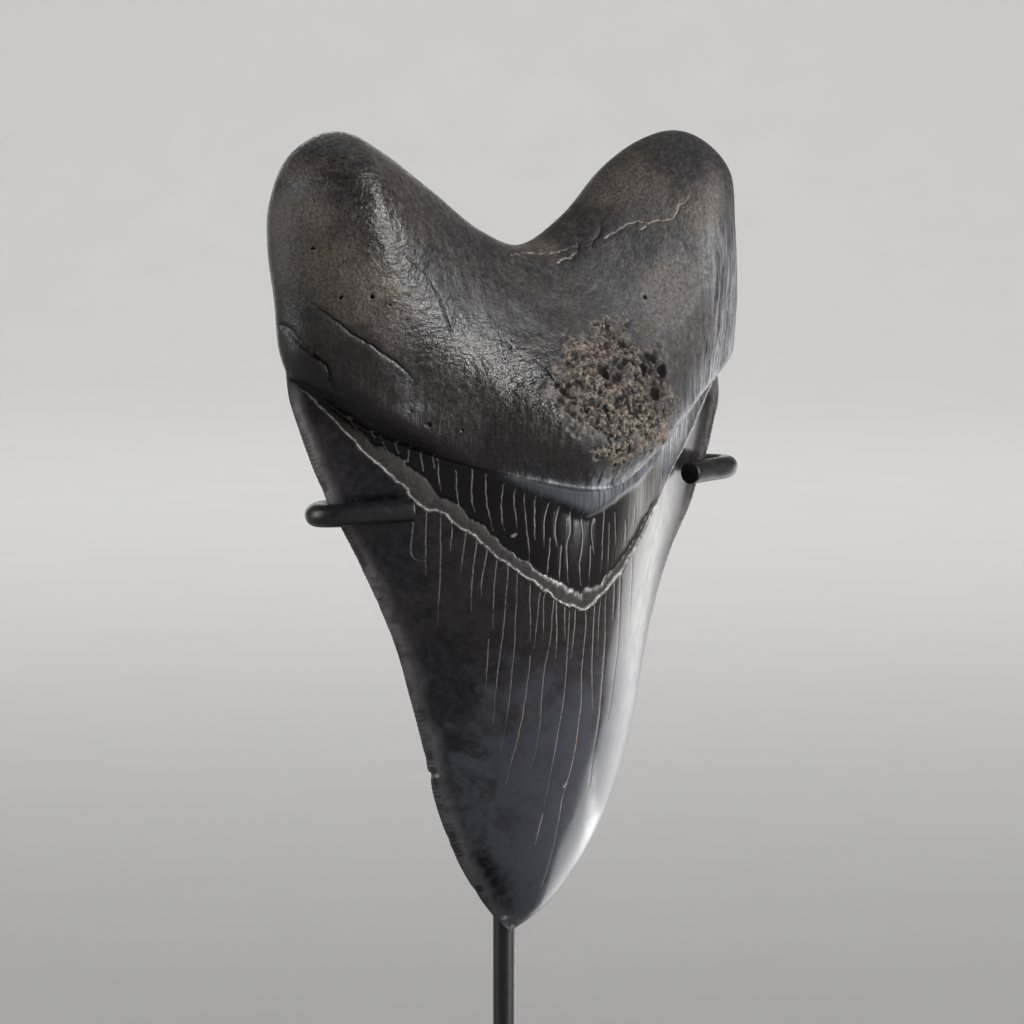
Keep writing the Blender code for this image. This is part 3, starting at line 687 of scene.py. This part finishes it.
def toothMarks(vertices, sides, insets, outline, saw):
    # how much of each finish and mark every point has, mostly 0 to 1, by the names that the material reads
    x, z = vertices[:, 0], vertices[:, 2]
    flat = np.stack([x, z], 1)
    front = sides <= 0
    upLip = aboveLine(x, z, lipCurve)
    upEnamel = aboveEnamel(x, z)
    width = bevelSpan(x, z)
    backLine = 84 + 5 * (np.abs(x) / 44)**2 + 0.5 * cloud(flatPoints(x, z), 2.0, 21)
    fibrous = ramp(x, 19, 25) * ramp(upEnamel, 0.1, 0.6)   # on the right the root runs down to the enamel
    root = np.where(front, np.maximum(ramp(upLip, -0.1, 0.35), fibrous), ramp(z, backLine, backLine + 1.0))
    enamel = np.where(front, 1 - ramp(upEnamel, -0.05, 0.08), 1 - root)
    bevel = front * (1 - enamel) * (1 - ramp(upEnamel, width - 0.3, width + 0.1)) * (1 - root)
    tongue = apronShare(x, z)

    # pale rims of the slope, below and above it, and of the chips
    rimLine = front * np.exp(-(upEnamel / 0.14)**2) * ramp(x, -46, -42)
    upper = front * np.exp(-((upEnamel - width) / 0.14)**2) * (1 - root)
    rimLine = np.maximum(rimLine, 0.5 * (upper * ramp(x, -12, -4) * (1 - ramp(x, 5, 9))))
    for chipX, chipZ, reach in chips:
        rimLine = np.maximum(rimLine, front * 0.6 * ramp(1 - np.hypot(x - chipX, z - chipZ) / reach, 0, 0.4))

    worn = insets + 0.7 * layered(vertices, 3.0, 69)
    edgeBand = np.where(front, 1 - ramp(worn, 0.4, 3.0), 0.5 * (1 - ramp(worn, 0.6, 1.6))) * enamel
    crackEnamel = front * crackField(flat, "enamel") * enamel
    crackNeck = front * crackField(flat, "neck") * (1 - enamel) * (1 - root) * (1 - 0.85 * tongue)
    crackRoot = front * crackField(flat, "root") * root
    holes, holeDepth = holeFields(vertices, front)
    inPatch = front * patchShare(x, z) * root
    # fibrous streaks at the lower right of the root; the material paints them pale, partly as a painted
    # highlight
    fibre = np.exp(-(toLine(flat, fibreLine)[0] / (3.2 + 0.1 * np.clip(x, 0, 40)))**2)
    marks = {
        "rootShare": root,
        "bevelShare": bevel,
        "enamelShare": enamel,
        "apron": front * tongue * (1 - root) * (1 - enamel) * (1 - bevel),
        "rimLine": rimLine,
        "edgeBand": edgeBand,
        "tick": edgeTicks(flat, insets, outline, saw),
        "stain": stainShare(x, z) * np.where(front, 1, 0.4),
        "brown": spotShare(x, z, brownSpotsAndFlankLight, 81) * root,
        "polish": np.exp(-(toLine(flat, glossLine)[0] / glossReach)**2) * root * front,
        "fibre": front * (fibre * (1 - 0.5 * ramp(x, 33, 38))),
        "fibreBand": bevel * ramp(upEnamel / width, 0.45, 0.6) * (1 - ramp(x, -20, -14)) * ramp(x, -42, -36),
        "upLip": np.clip(upLip, -20, 60),
        "inPatch": inPatch,
        "patchDark": spotShare(x, z, darkSpots, 83) * inPatch,
        "pits": front * pitField(x, z) * inPatch,
        "crackPale": np.maximum(crackEnamel, crackNeck),
        "crackPaleRoot": front * crackField(flat, "rootPale") * root,
        "crackOpen": np.maximum(crackRoot, np.clip(2 * holes, 0, 1)),
    }
    return marks, crackRoot, crackEnamel + crackNeck, holeDepth


# heights of the fine relief, in millimetres
relief = {
    "root": (0.35, 0.1, 0.05),     # broad waves, small ones, fibre
    "patch": (0.3, 0.15, 0.15),    # lumps, grains, the patch as a whole
    "openCrack": 0.34,
    "paleRootCrack": 0.12,
    "fineCrack": 0.06,
    "rim": 0.1,
    "slopeFibre": 0.15,
    "slope": 0.03,
    "crown": 0.05,
}


def toothRelief(vertices, insets, marks, crackRoot, crackFine, holeDepth):
    root, bevel, inPatch = marks["rootShare"], marks["bevelShare"], marks["inPatch"]
    broad, small, fibre = relief["root"]
    waves = broad * layered(vertices, 9.0, 41) + small * layered(vertices, 2.6, 45)
    waves = waves + fibre * cloud(vertices, (0.9, 2.0, 3.5), 49)
    lift = root * waves * ramp(insets, 0, 4)
    lumps, grains, whole = relief["patch"]
    lift += inPatch * (lumps * layered(vertices, 1.5, 51) + grains * cloud(vertices, 0.7, 55) + whole)
    lift -= patch["deep"] * marks["pits"]
    lift -= crackRoot * relief["openCrack"] + marks["crackPaleRoot"] * relief["paleRootCrack"]
    lift -= holeDepth
    lift += relief["rim"] * marks["rimLine"]
    lift += marks["fibreBand"] * relief["slopeFibre"] * cloud(vertices, (0.5, 1, 2.5), 65)
    lift += bevel * relief["slope"] * layered(vertices, 0.9, 61)
    lift += (1 - root) * (1 - bevel) * relief["crown"] * cloud(vertices, 9.0, 63) * ramp(insets, 0.5, 3)
    return lift - relief["fineCrack"] * crackFine


def buildTooth():
    vertices, faces, sides, insets, outline, saw = toothSurface()
    obj = meshObject("tooth_fossil", vertices, faces)
    normals = np.zeros(vertices.size, np.float32)
    obj.data.vertices.foreach_get("normal", normals)
    marks, *depths = toothMarks(vertices, sides, insets, outline, saw)
    lift = toothRelief(vertices, insets, marks, *depths)
    moved = vertices + normals.reshape(-1, 3) * lift[:, None]
    top = cadBox[1][2] / mm - toothPlace[2] - 0.005
    moved[:, 2] = np.minimum(moved[:, 2], top)   # never above the solid
    obj.data.vertices.foreach_set("co", ((moved + toothPlace) * mm).astype(np.float32).ravel())
    obj.data.update()
    for name, values in marks.items():
        layer = obj.data.attributes.new(name, "FLOAT", "POINT")
        layer.data.foreach_set("value", np.asarray(values, np.float32))
    print("tooth:", len(vertices), "points,", sum(len(f) - 2 for f in faces), "triangles")
    return obj


# node materials

class Nodes:
    # short names for the nodes that the materials below are made of
    def __init__(self, name):
        self.material = bpy.data.materials.new(name)
        self.material.use_nodes = True
        self.tree = self.material.node_tree
        self.shader = self.tree.nodes["Principled BSDF"]
        self.place = -400
        self.at = self.millimetres()

    def add(self, kind, inputs, **settings):
        node = self.tree.nodes.new(kind)
        self.place -= 40
        node.location = (self.place, 200)
        for key, value in settings.items():
            setattr(node, key, value)
        for key, value in inputs.items():
            self.feed(node.inputs[key], value)
        return node

    def feed(self, socket, value):
        if isinstance(value, bpy.types.NodeSocket):
            self.tree.links.new(value, socket)
        elif isinstance(value, tuple) and len(value) == 3 and socket.type == "RGBA":
            socket.default_value = (*value, 1)
        else:
            socket.default_value = value

    def math(self, operation, a, b):
        return self.add("ShaderNodeMath", {0: a, 1: b}, operation=operation).outputs[0]

    def times(self, a, b):
        return self.math("MULTIPLY", a, b)

    def plus(self, a, b):
        return self.math("ADD", a, b)

    def remap(self, value, low, high, toLow=0.0, toHigh=1.0):
        ends = {"From Min": low, "From Max": high, "To Min": toLow, "To Max": toHigh}
        return self.add("ShaderNodeMapRange", {"Value": value, **ends}).outputs["Result"]

    def mix(self, share, a, b):
        return self.add("ShaderNodeMix", {0: share, 6: a, 7: b}, data_type="RGBA").outputs[2]

    def blend(self, share, a, b):
        return self.add("ShaderNodeMix", {0: share, 2: a, 3: b}, data_type="FLOAT").outputs[0]

    def mark(self, name):
        return self.add("ShaderNodeAttribute", {}, attribute_name=name).outputs["Fac"]

    def millimetres(self, stretch=(1, 1, 1), turn=(0, 0, 0)):
        place = self.add("ShaderNodeTexCoord", {}).outputs["Object"]
        scale = tuple(1000 * s for s in stretch)
        return self.add("ShaderNodeMapping", {"Vector": place, "Rotation": turn, "Scale": scale}).outputs[0]

    def axis(self, name):
        return self.add("ShaderNodeSeparateXYZ", {0: self.at}).outputs[name]

    def noise(self, size, detail=3.0, roughness=0.55, distortion=0.0, at=None):
        inputs = {"Vector": self.at if at is None else at, "Scale": 1 / size, "Detail": detail}
        inputs.update({"Roughness": roughness, "Distortion": distortion})
        return self.add("ShaderNodeTexNoise", inputs).outputs["Fac"]

    def finish(self, color, rough, height, deep):
        # height 0 to 1 stands for deep, in millimetres
        bump = self.add("ShaderNodeBump", {"Height": height, "Distance": deep * mm, "Strength": 1.0})
        for name, value in (("Base Color", color), ("Roughness", rough), ("Normal", bump.outputs[0])):
            self.feed(self.shader.inputs[name], value)
        return self.material


fossilLook = {
    "enamelLight": (0.033, 0.034, 0.044),
    "enamelDark": (0.0045, 0.004, 0.005),
    "enamelBrown": (0.013, 0.0105, 0.0105),
    "edgeGrey": (0.085, 0.081, 0.082),
    "neck": (0.0035, 0.0028, 0.003),
    "neckBrown": (0.035, 0.025, 0.02),
    "apron": (0.010, 0.0108, 0.0155),
    "apronPale": (0.021, 0.0225, 0.031),
    "bevel": (0.034, 0.031, 0.031),
    "bevelDark": (0.011, 0.0095, 0.0095),
    "rimPale": (0.42, 0.40, 0.39),
    "crackPale": (0.21, 0.2, 0.197),
    "crackOchre": (0.34, 0.225, 0.14),
    "rootGrey": (0.015, 0.0142, 0.016),
    "rootBrown": (0.0245, 0.0195, 0.0165),
    # dark grains, and the painted shade near the lip
    "rootDarkGrainAndShade": (0.008, 0.0065, 0.007),
    # golden grain, also lifting the lobe flanks as painted light
    "goldenGrainAndPaintedLight": (0.15, 0.116, 0.088),
    # pale fibre streaks, partly a painted highlight
    "fibrePaleAndSheen": (0.29, 0.295, 0.32),
    "speck": (0.062, 0.0545, 0.0505),
    "grain": (0.2, 0.162, 0.13),
    "grainDark": (0.012, 0.0085, 0.007),
    "pit": (0.0035, 0.0027, 0.0025),
    "enamelSmudge": (0.06, 0.06, 0.07),
    "slopeFibre": (0.075, 0.062, 0.055),
    "rootCrackPale": (0.24, 0.195, 0.165),
    "enamelRough": 0.17,
    "edgeRough": 0.34,
    "neckRough": 0.24,
    "tongueRough": 0.7,
    "slopeRough": 0.85,
    "rootRough": (0.36, 0.52),   # left of the middle and right of it
    "polishedRough": 0.11,
    "fibreRough": 0.27,
    "patchRough": 0.65,
    "specular": 0.38,
    "reliefDeep": 0.17,
}


def enamelColor(n, look):
    # blue-grey low down, brown-black higher up, black stains with soft ragged edges
    level = n.plus(n.axis("Z"), n.remap(n.noise(8.0, 6, 0.65, 0.5), 0, 1, -20, 20))
    color = n.mix(n.remap(level, 93, 106), look["enamelLight"], look["enamelBrown"])
    stain = n.plus(n.mark("stain"), n.remap(n.noise(3.2, 6, 0.7, 0.8), 0, 1, -0.8, 0.8))
    color = n.mix(n.remap(stain, 0.25, 0.65), color, look["enamelDark"])
    leftward = n.remap(n.axis("X"), 2, -18, 0, 0.75)
    color = n.mix(n.times(leftward, n.remap(n.noise(5.5, 6, 0.7, 0.6), 0.5, 0.62)), color, look["enamelDark"])
    color = n.mix(n.remap(n.noise(1.6, 6, 0.7), 0.42, 0.7, 0, 0.22), color, look["enamelSmudge"])
    edgeTint = n.mix(n.times(n.mark("tick"), 0.75), look["edgeGrey"], look["enamelDark"])
    edgeShare = n.times(n.mark("edgeBand"), n.remap(n.noise(2.5, 5, 0.7), 0.4, 0.56, 0.35, 0.95))
    return n.mix(edgeShare, color, edgeTint)


def neckOver(n, look, color):
    # bare neck, the grey tongue under the lip, the worn slope and its pale rim
    brownAt = n.plus(n.axis("X"), n.remap(n.noise(5.0, 5), 0, 1, -7, 7))
    neck = n.mix(n.remap(brownAt, 4, 22, 0, 0.8), look["neck"], look["neckBrown"])
    color = n.mix(n.mark("enamelShare"), neck, color)
    streaks = n.noise(0.6, 4, 0.7, at=n.millimetres((1, 1, 0.15)))
    color = n.mix(n.mark("apron"), color, n.mix(n.remap(streaks, 0.4, 0.6), look["apron"], look["apronPale"]))
    slope = n.mix(n.remap(n.noise(0.7, 5, 0.7), 0.3, 0.7), look["bevelDark"], look["bevel"])
    strands = n.noise(0.5, 4, 0.7, at=n.millimetres((1, 1, 0.3)))
    slope = n.mix(n.mark("fibreBand"), slope, n.mix(strands, look["pit"], look["slopeFibre"]))
    color = n.mix(n.mark("bevelShare"), color, slope)
    rim = n.times(n.mark("rimLine"), n.remap(n.noise(0.9, 4, 0.7), 0.36, 0.56, 0.25, 1.0))
    return n.mix(rim, color, look["rimPale"])


def fineCracksOver(n, look, color):
    # pale cracks, ochre in places low down; gives their share too
    low = n.times(n.remap(n.axis("Z"), 104, 92), n.remap(n.noise(4.0), 0.44, 0.56))
    broken = n.remap(n.noise(1.3, 4, 0.7), 0.36, 0.52, 0.3, 1.0)
    share = n.times(n.remap(n.mark("crackPale"), 0.25, 0.9), broken)
    return n.mix(share, color, n.mix(low, look["crackPale"], look["crackOchre"])), share


def rootColor(n, look):
    # dark grey-brown bone, peppered with light and dark grains, and darkened towards the lip as painted shade
    browner = n.remap(n.noise(16.0, 5, 0.6, 0.4), 0.45, 0.58)
    color = n.mix(browner, look["rootGrey"], look["rootBrown"])
    speckle = n.noise(1.1, 6, 0.85)
    color = n.mix(n.remap(speckle, 0.505, 0.6, 0, n.blend(browner, 0.45, 0.85)), color, look["speck"])
    color = n.mix(n.remap(speckle, 0.485, 0.4, 0, 0.85), color, look["rootDarkGrainAndShade"])
    # golden grain; it also lightens the lobe flanks as painted light
    goldenGrainAndPaintedLight = n.times(n.mark("brown"), n.remap(n.noise(0.5, 6, 0.85), 0.45, 0.56, 0.1, 1.0))
    color = n.mix(n.times(goldenGrainAndPaintedLight, 0.8), color, look["goldenGrainAndPaintedLight"])
    upLip = n.mark("upLip")
    # painted shade: the lower root, facing down, darkens towards the lip, most on the left and in the middle
    shadeNearLip = n.times(n.remap(upLip, 1, 19, 0.95, 0), n.remap(n.axis("X"), 6, -8, 0.35, 1.0))
    color = n.mix(shadeNearLip, color, look["rootDarkGrainAndShade"])
    tongue = n.times(n.remap(upLip, 3.2, 0.6), n.remap(n.axis("X"), -16, -8))
    color = n.mix(n.times(tongue, 0.85), color, look["apron"])
    grain = n.mix(n.remap(n.noise(0.6, 6, 0.85), 0.46, 0.56), look["grainDark"], look["grain"])
    hollow = n.times(n.mark("patchDark"), n.remap(n.noise(1.7, 5, 0.8), 0.42, 0.56, 1.0, 0.35))
    color = n.mix(n.mark("inPatch"), color, n.mix(hollow, grain, look["pit"]))
    color = n.mix(n.remap(n.mark("pits"), 0.1, 0.5), color, look["pit"])
    color = n.mix(n.remap(n.mark("crackOpen"), 0.05, 0.4), color, look["pit"])
    pale = n.times(n.remap(n.mark("crackPaleRoot"), 0.25, 0.7), n.remap(speckle, 0.42, 0.54, 0.1, 1))
    return n.mix(pale, color, look["rootCrackPale"])


def fibreSheenOver(n, look, color, fibres):
    # pale fibres at the lower right of the root and faintly on the tongue; their paleness is partly a painted
    # highlight, the strip light's sheen on the right
    share = n.times(n.mark("fibre"), n.math("SUBTRACT", 1.0, n.mark("inPatch")))
    share = n.times(share, n.math("MAXIMUM", n.mark("rootShare"), n.times(n.mark("apron"), 0.35)))
    streaks = n.times(n.remap(fibres, 0.42, 0.62), 0.9)
    return n.mix(n.times(share, streaks), color, look["fibrePaleAndSheen"])


def fossilRough(n, look, cracked):
    # glossy enamel, duller neck, satin root, dull patch
    rough = n.plus(look["enamelRough"], n.remap(n.noise(3.0, 5), 0.3, 0.7, -0.04, 0.07))
    rough = n.blend(n.mark("edgeBand"), rough, look["edgeRough"])
    neck = n.blend(n.mark("apron"), look["neckRough"], look["tongueRough"])
    rough = n.blend(n.mark("enamelShare"), neck, rough)
    rough = n.blend(n.math("MAXIMUM", n.mark("bevelShare"), cracked), rough, look["slopeRough"])
    polish = n.mark("polish")
    root = n.blend(polish, n.remap(n.axis("X"), -12, 2, *look["rootRough"]), look["polishedRough"])
    root = n.blend(n.mark("fibre"), root, look["fibreRough"])
    grit = n.remap(n.noise(0.7, 4, 0.8), 0.42, 0.58, -0.06, 0.14)
    root = n.plus(root, n.times(grit, n.blend(polish, 1.0, 1.8)))
    root = n.blend(n.mark("inPatch"), root, look["patchRough"])
    root = n.blend(n.remap(n.mark("pits"), 0.1, 0.5), root, 1.0)
    return n.blend(n.mark("rootShare"), rough, root)


def fossilHeight(n, fibres):
    # grain and ripples of the root, furrows of the neck, fine layers of the enamel
    strands = n.noise(0.7, 3, 0.6, at=n.millimetres((1, 1, 0.22)))
    grains = n.noise(0.75, 4, 0.7, at=n.millimetres((1, 1, 0.7)))
    root = n.blend(n.remap(n.mark("upLip"), 2, 14, 0.75, 0.05), grains, strands)
    ripples = n.noise(0.9, 3, 0.6, at=n.millimetres((0.5, 1, 1), (0, math.radians(20), 0)))
    root = n.plus(root, n.times(ripples, n.blend(n.mark("polish"), 0.45, 2.0)))
    root = n.plus(root, n.times(n.times(n.noise(0.55, 5, 0.8), n.mark("brown")), 0.9))
    root = n.blend(n.mark("fibre"), root, fibres)
    root = n.blend(n.mark("inPatch"), root, n.times(n.noise(0.9, 6, 0.8), 1.3))
    laminae = n.noise(0.4, 2, 0.5, at=n.millimetres((1, 1, 0.04)))
    enamel = n.plus(n.times(laminae, 0.035), n.times(n.noise(1.2, 3), 0.03))
    furrows = n.times(n.noise(0.8, 3, 0.6, at=n.millimetres((1, 1, 0.06))), 0.4)
    crown = n.blend(n.mark("enamelShare"), furrows, enamel)
    crown = n.blend(n.mark("bevelShare"), crown, n.noise(0.55, 6, 0.8))
    return n.blend(n.mark("rootShare"), crown, root)


def fossilMaterial():
    look = fossilLook
    n = Nodes("fossil_tooth")
    fibres = n.noise(0.6, 4, 0.7, at=n.millimetres((1.1, 0.5, 0.07), (0, math.radians(-33), 0)))
    color = neckOver(n, look, enamelColor(n, look))
    color, cracked = fineCracksOver(n, look, color)
    color = n.mix(n.mark("rootShare"), color, rootColor(n, look))
    color = fibreSheenOver(n, look, color, fibres)
    n.shader.inputs["Specular IOR Level"].default_value = look["specular"]
    return n.finish(color, fossilRough(n, look, cracked), fossilHeight(n, fibres), look["reliefDeep"])


# stand: fine round wires in place of the faceted ones

stand = {
    "rod": 2.0,
    "postAt": (2.4, 5.8),
    "postFoot": 3.3,         # above the table, in the base's socket
    "postTop": 82.5,
    "sides": 40,
    "sharp": 50,
    "brazeRadius": 2.7,
    "brazeLength": 2.5,
    "left": [(-8, 5.8, 75.2), (-20, 5.8, 75.2), (-30, 5.8, 75.2), (-35, 5.3, 75.2), (-38.8, 2.6, 75.3),
             (-41.35, -1.4, 75.4), (-39.8, -5, 75.6), (-34.5, -8.1, 76), (-28.5, -11.1, 76.4)],
    "right": [(10, 5.8, 79), (21, 5.8, 79), (32, 5.8, 79), (39, 5.3, 79), (43.6, 2.5, 79.1),
              (45.2, -1.4, 79.2), (43, -4.9, 79.3), (37.5, -6.7, 79.2), (32.7, -8.4, 79.1)],
    "paint": (0.006, 0.006, 0.0068),
    "dust": (0.035, 0.034, 0.034),
    "rough": 0.38,
    "baseRough": 0.8,
}


def ring(centre, out, over, radius):
    turns = [2 * math.pi * k / stand["sides"] for k in range(stand["sides"])]
    return [centre + radius * (math.cos(turn) * out + math.sin(turn) * over) for turn in turns]


def loft(name, rings):
    # closed tube through the rings
    sides = stand["sides"]
    faces = [list(range(sides))[::-1]]
    for low in range(0, (len(rings) - 1) * sides, sides):
        high = low + sides
        for k in range(sides):
            after = (k + 1) % sides
            faces.append((low + k, low + after, high + after, high + k))
    faces.append([(len(rings) - 1) * sides + k for k in range(sides)])
    return meshObject(name, (np.concatenate(rings) + toothPlace) * mm, faces, stand["sharp"])


def buildProng(name, points):
    # round wire with a brazed fillet at the post, and a flat cut end with a filed rim
    side = math.copysign(1, points[0][0])
    start = (stand["postAt"][0] + side * (stand["rod"] + 0.05), points[0][1], points[0][2])
    flare = [(start[0] + side * stand["brazeLength"] * k / 10, start[1], start[2]) for k in range(11)]
    path = np.concatenate([flare[:-1], evenly(smoothCurve([flare[-1], *points], 10), 0.5)])
    way = (path[-1] - path[-2]) / np.linalg.norm(path[-1] - path[-2])
    path = np.concatenate([path, [path[-1] + way * d for d in (0.12, 0.22, 0.28, 0.3)]])
    radii = np.full(len(path), stand["rod"])
    grow = stand["brazeRadius"] - stand["rod"]
    for k in range(11):
        radii[k] = stand["rod"] + grow * (1 - math.sin(math.pi / 2 * k / 10))
    radii[-4:] = stand["rod"] - np.array([0.03, 0.1, 0.2, 0.34])
    along = np.gradient(path, axis=0)
    along /= np.linalg.norm(along, axis=1)[:, None]
    along[-5:] = way
    rings = []
    for point, forward, radius in zip(path, along, radii):
        out = np.cross(forward, (0, 0, 1))
        out /= np.linalg.norm(out)
        rings.append(ring(point, out, np.cross(out, forward), radius))
    return loft(name, rings)


def buildPost():
    # straight rod with a rounded top
    foot = stand["postFoot"] - toothPlace[2]
    top = stand["postTop"]
    profile = [(foot, -0.4), (foot + 0.4, 0)]
    profile += [(height, 0) for height in np.arange(-45, 81, 3.0)]
    profile += [(top - 0.7, 0), (top - 0.4, -0.08), (top - 0.15, -0.28), (top, -0.7)]
    out, over = np.array((1, 0, 0)), np.array((0, 1, 0))
    return loft("post_rod", [ring(np.array((*stand["postAt"], height)), out, over, stand["rod"] + extra)
                             for height, extra in profile])


def paintMaterial(name, rough, shift):
    # satin black paint: faint orange peel, a little dust, slightly uneven roughness
    n = Nodes(name)
    n.at = n.add("ShaderNodeVectorMath", {0: n.at, 1: (shift, 0, 0)}, operation="ADD").outputs[0]
    color = n.mix(n.remap(n.noise(2.2, 6, 0.7), 0.56, 0.75, 0, 0.35), stand["paint"], stand["dust"])
    uneven = n.remap(n.noise(1.1, 4, 0.6), 0.3, 0.7, rough - 0.04, rough + 0.06)
    peel = n.plus(n.times(n.noise(0.45, 2), 0.6), n.times(n.noise(0.15, 2), 0.4))
    return n.finish(color, uneven, peel, 0.01)


# floor, light and camera

view = {"azimuth": -35.0, "elevation": 6.0, "distance": 1.0, "target": (0, 0, 73.4), "focal": 5710.0}
target = Vector((np.array(view["target"]) + toothPlace) * mm)
turn = math.radians(view["azimuth"])
rightWay = Vector((math.cos(turn), math.sin(turn), 0))
nearWay = Vector((math.sin(turn), -math.cos(turn), 0))
paper = {"flat": (3.5, 1.0, 0.0, -1.0, -1.7), "bend": 0.8, "top": 3.0, "half": 4,
         "pale": (0.57, 0.565, 0.555), "paler": (0.6, 0.595, 0.585), "rough": 0.9}


def buildFloor():
    # paper sweep: flat under the stand, curving up far behind it
    end, bend = paper["flat"][-1], paper["bend"]
    profile = [(near, 0.0) for near in paper["flat"]]
    for k in range(1, 13):
        angle = math.pi / 2 * k / 12
        profile.append((end - bend * math.sin(angle), bend * (1 - math.cos(angle))))
    profile.append((end - bend, paper["top"]))
    vertices = []
    for near, up in profile:
        for wide in (-paper["half"], 0, paper["half"]):
            vertices.append(nearWay * near + rightWay * wide + Vector((0, 0, up - 0.0001)))
    corners = [3 * k + j for k in range(len(profile) - 1) for j in (0, 1)]
    faces = [(first, first + 1, first + 4, first + 3) for first in corners]
    obj = meshObject("floor", vertices, faces)
    n = Nodes("floor_paper")
    n.feed(n.shader.inputs["Base Color"], n.mix(n.noise(40, 3), paper["pale"], paper["paler"]))
    n.shader.inputs["Roughness"].default_value = paper["rough"]
    obj.data.materials.append(n.material)
    return obj


def buildCamera():
    tilt = math.radians(view["elevation"])
    back = nearWay * math.cos(tilt) + Vector((0, 0, math.sin(tilt)))
    lens = bpy.data.cameras.new("camera")
    lens.sensor_width = 36
    lens.lens = 36 * view["focal"] / 1024
    lens.clip_end = 50
    camera = bpy.data.objects.new("camera", lens)
    camera.location = target + back * view["distance"]
    camera.rotation_mode = "QUATERNION"
    camera.rotation_quaternion = (-back).to_track_quat("-Z", "Y")
    bpy.context.scene.collection.objects.link(camera)
    bpy.context.scene.camera = camera


# azimuth is measured from the camera's side round to the right; glow is the softbox's brightness
softboxes = {
    "strip_right": {"azimuth": 139, "elevation": -17, "distance": 0.205, "size": (0.115, 0.15), "glow": 1.8},
    "foot_right": {"azimuth": 134, "elevation": -47, "distance": 0.15, "size": (0.09, 0.05), "glow": 2.2},
    "key_right": {"azimuth": 61, "elevation": 17, "distance": 0.8, "size": (0.11, 0.7), "glow": 54.0},
    "fill_left": {"azimuth": -78, "elevation": 14, "distance": 0.7, "size": (0.2, 0.5), "glow": 9.0},
    "top": {"azimuth": 175, "elevation": 62, "distance": 1.2, "size": (1.0, 0.6), "glow": 0.7},
    "back": {"azimuth": 188, "elevation": 10, "distance": 1.3, "size": (0.8, 0.3), "glow": 1.6},
    "edge_left": {"azimuth": -150, "elevation": 5, "distance": 0.45, "size": (0.1, 0.3), "glow": 1.2},
}
backdropLight = {"near": -1.1, "up": 1.3, "aim": (-2.1, 0.1), "size": (2.4, 0.8), "glow": 3.6}
paperWash = {"up": 2.2, "size": (3, 3), "glow": 1.05}
roomGlow = (0.055, 0.056, 0.06, 1)


def softbox(name, place, aim, size, glow, floorOnly=False):
    light = bpy.data.lights.new(name, "AREA")
    light.shape = "RECTANGLE"
    light.size, light.size_y = size
    light.energy = glow * math.pi * light.size * light.size_y
    lamp = bpy.data.objects.new(name, light)
    lamp.location = place
    lamp.rotation_mode = "QUATERNION"
    lamp.rotation_quaternion = (aim - place).to_track_quat("-Z", "Y")
    lamp.visible_camera = False
    bpy.context.scene.collection.objects.link(lamp)
    # the small boxes light the object only, the wash lights the paper only
    group = bpy.data.collections.new(name + "_paper")
    group.objects.link(floorPiece)
    group.collection_objects[0].light_linking.link_state = "INCLUDE" if floorOnly else "EXCLUDE"
    lamp.light_linking.receiver_collection = group


def buildLights():
    for name, box in softboxes.items():
        side = math.radians(box["azimuth"])
        rise = math.radians(box["elevation"])
        way = nearWay * math.cos(side) + rightWay * math.sin(side)
        way = way * math.cos(rise) + Vector((0, 0, math.sin(rise)))
        softbox(name, target + way * box["distance"], target, box["size"], box["glow"])
    up = Vector((0, 0, 1))
    place = nearWay * backdropLight["near"] + up * backdropLight["up"]
    aim = nearWay * backdropLight["aim"][0] + up * backdropLight["aim"][1]
    softbox("backdrop", place, aim, backdropLight["size"], backdropLight["glow"], True)
    place = up * paperWash["up"]
    softbox("paper_wash", place, Vector((0, 0.01, 0)), paperWash["size"], paperWash["glow"], True)
    world = bpy.data.worlds.new("studio")
    world.use_nodes = True
    world.node_tree.nodes["Background"].inputs[0].default_value = roomGlow
    bpy.context.scene.world = world
    bpy.context.scene.view_settings.view_transform = "Standard"


# put it together

toothPiece = buildTooth()
toothPiece.data.materials.append(fossilMaterial())
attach(toothPiece, "root")
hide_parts("tooth")

rodPaint = paintMaterial("rod_paint", stand["rough"], 0)
for piece, node in ((buildPost(), "post"), (buildProng("prong_left_wire", stand["left"]), "prong_left"),
                    (buildProng("prong_right_wire", stand["right"]), "prong_right")):
    piece.data.materials.append(rodPaint)
    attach(piece, "root")
    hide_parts(node)
print("stand: post and prongs")

basePaint = paintMaterial("base_paint", stand["baseRough"], 50)
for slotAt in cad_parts["base"].material_slots:
    slotAt.material = basePaint

floorPiece = buildFloor()
buildCamera()
buildLights()
print("floor, camera and lights")
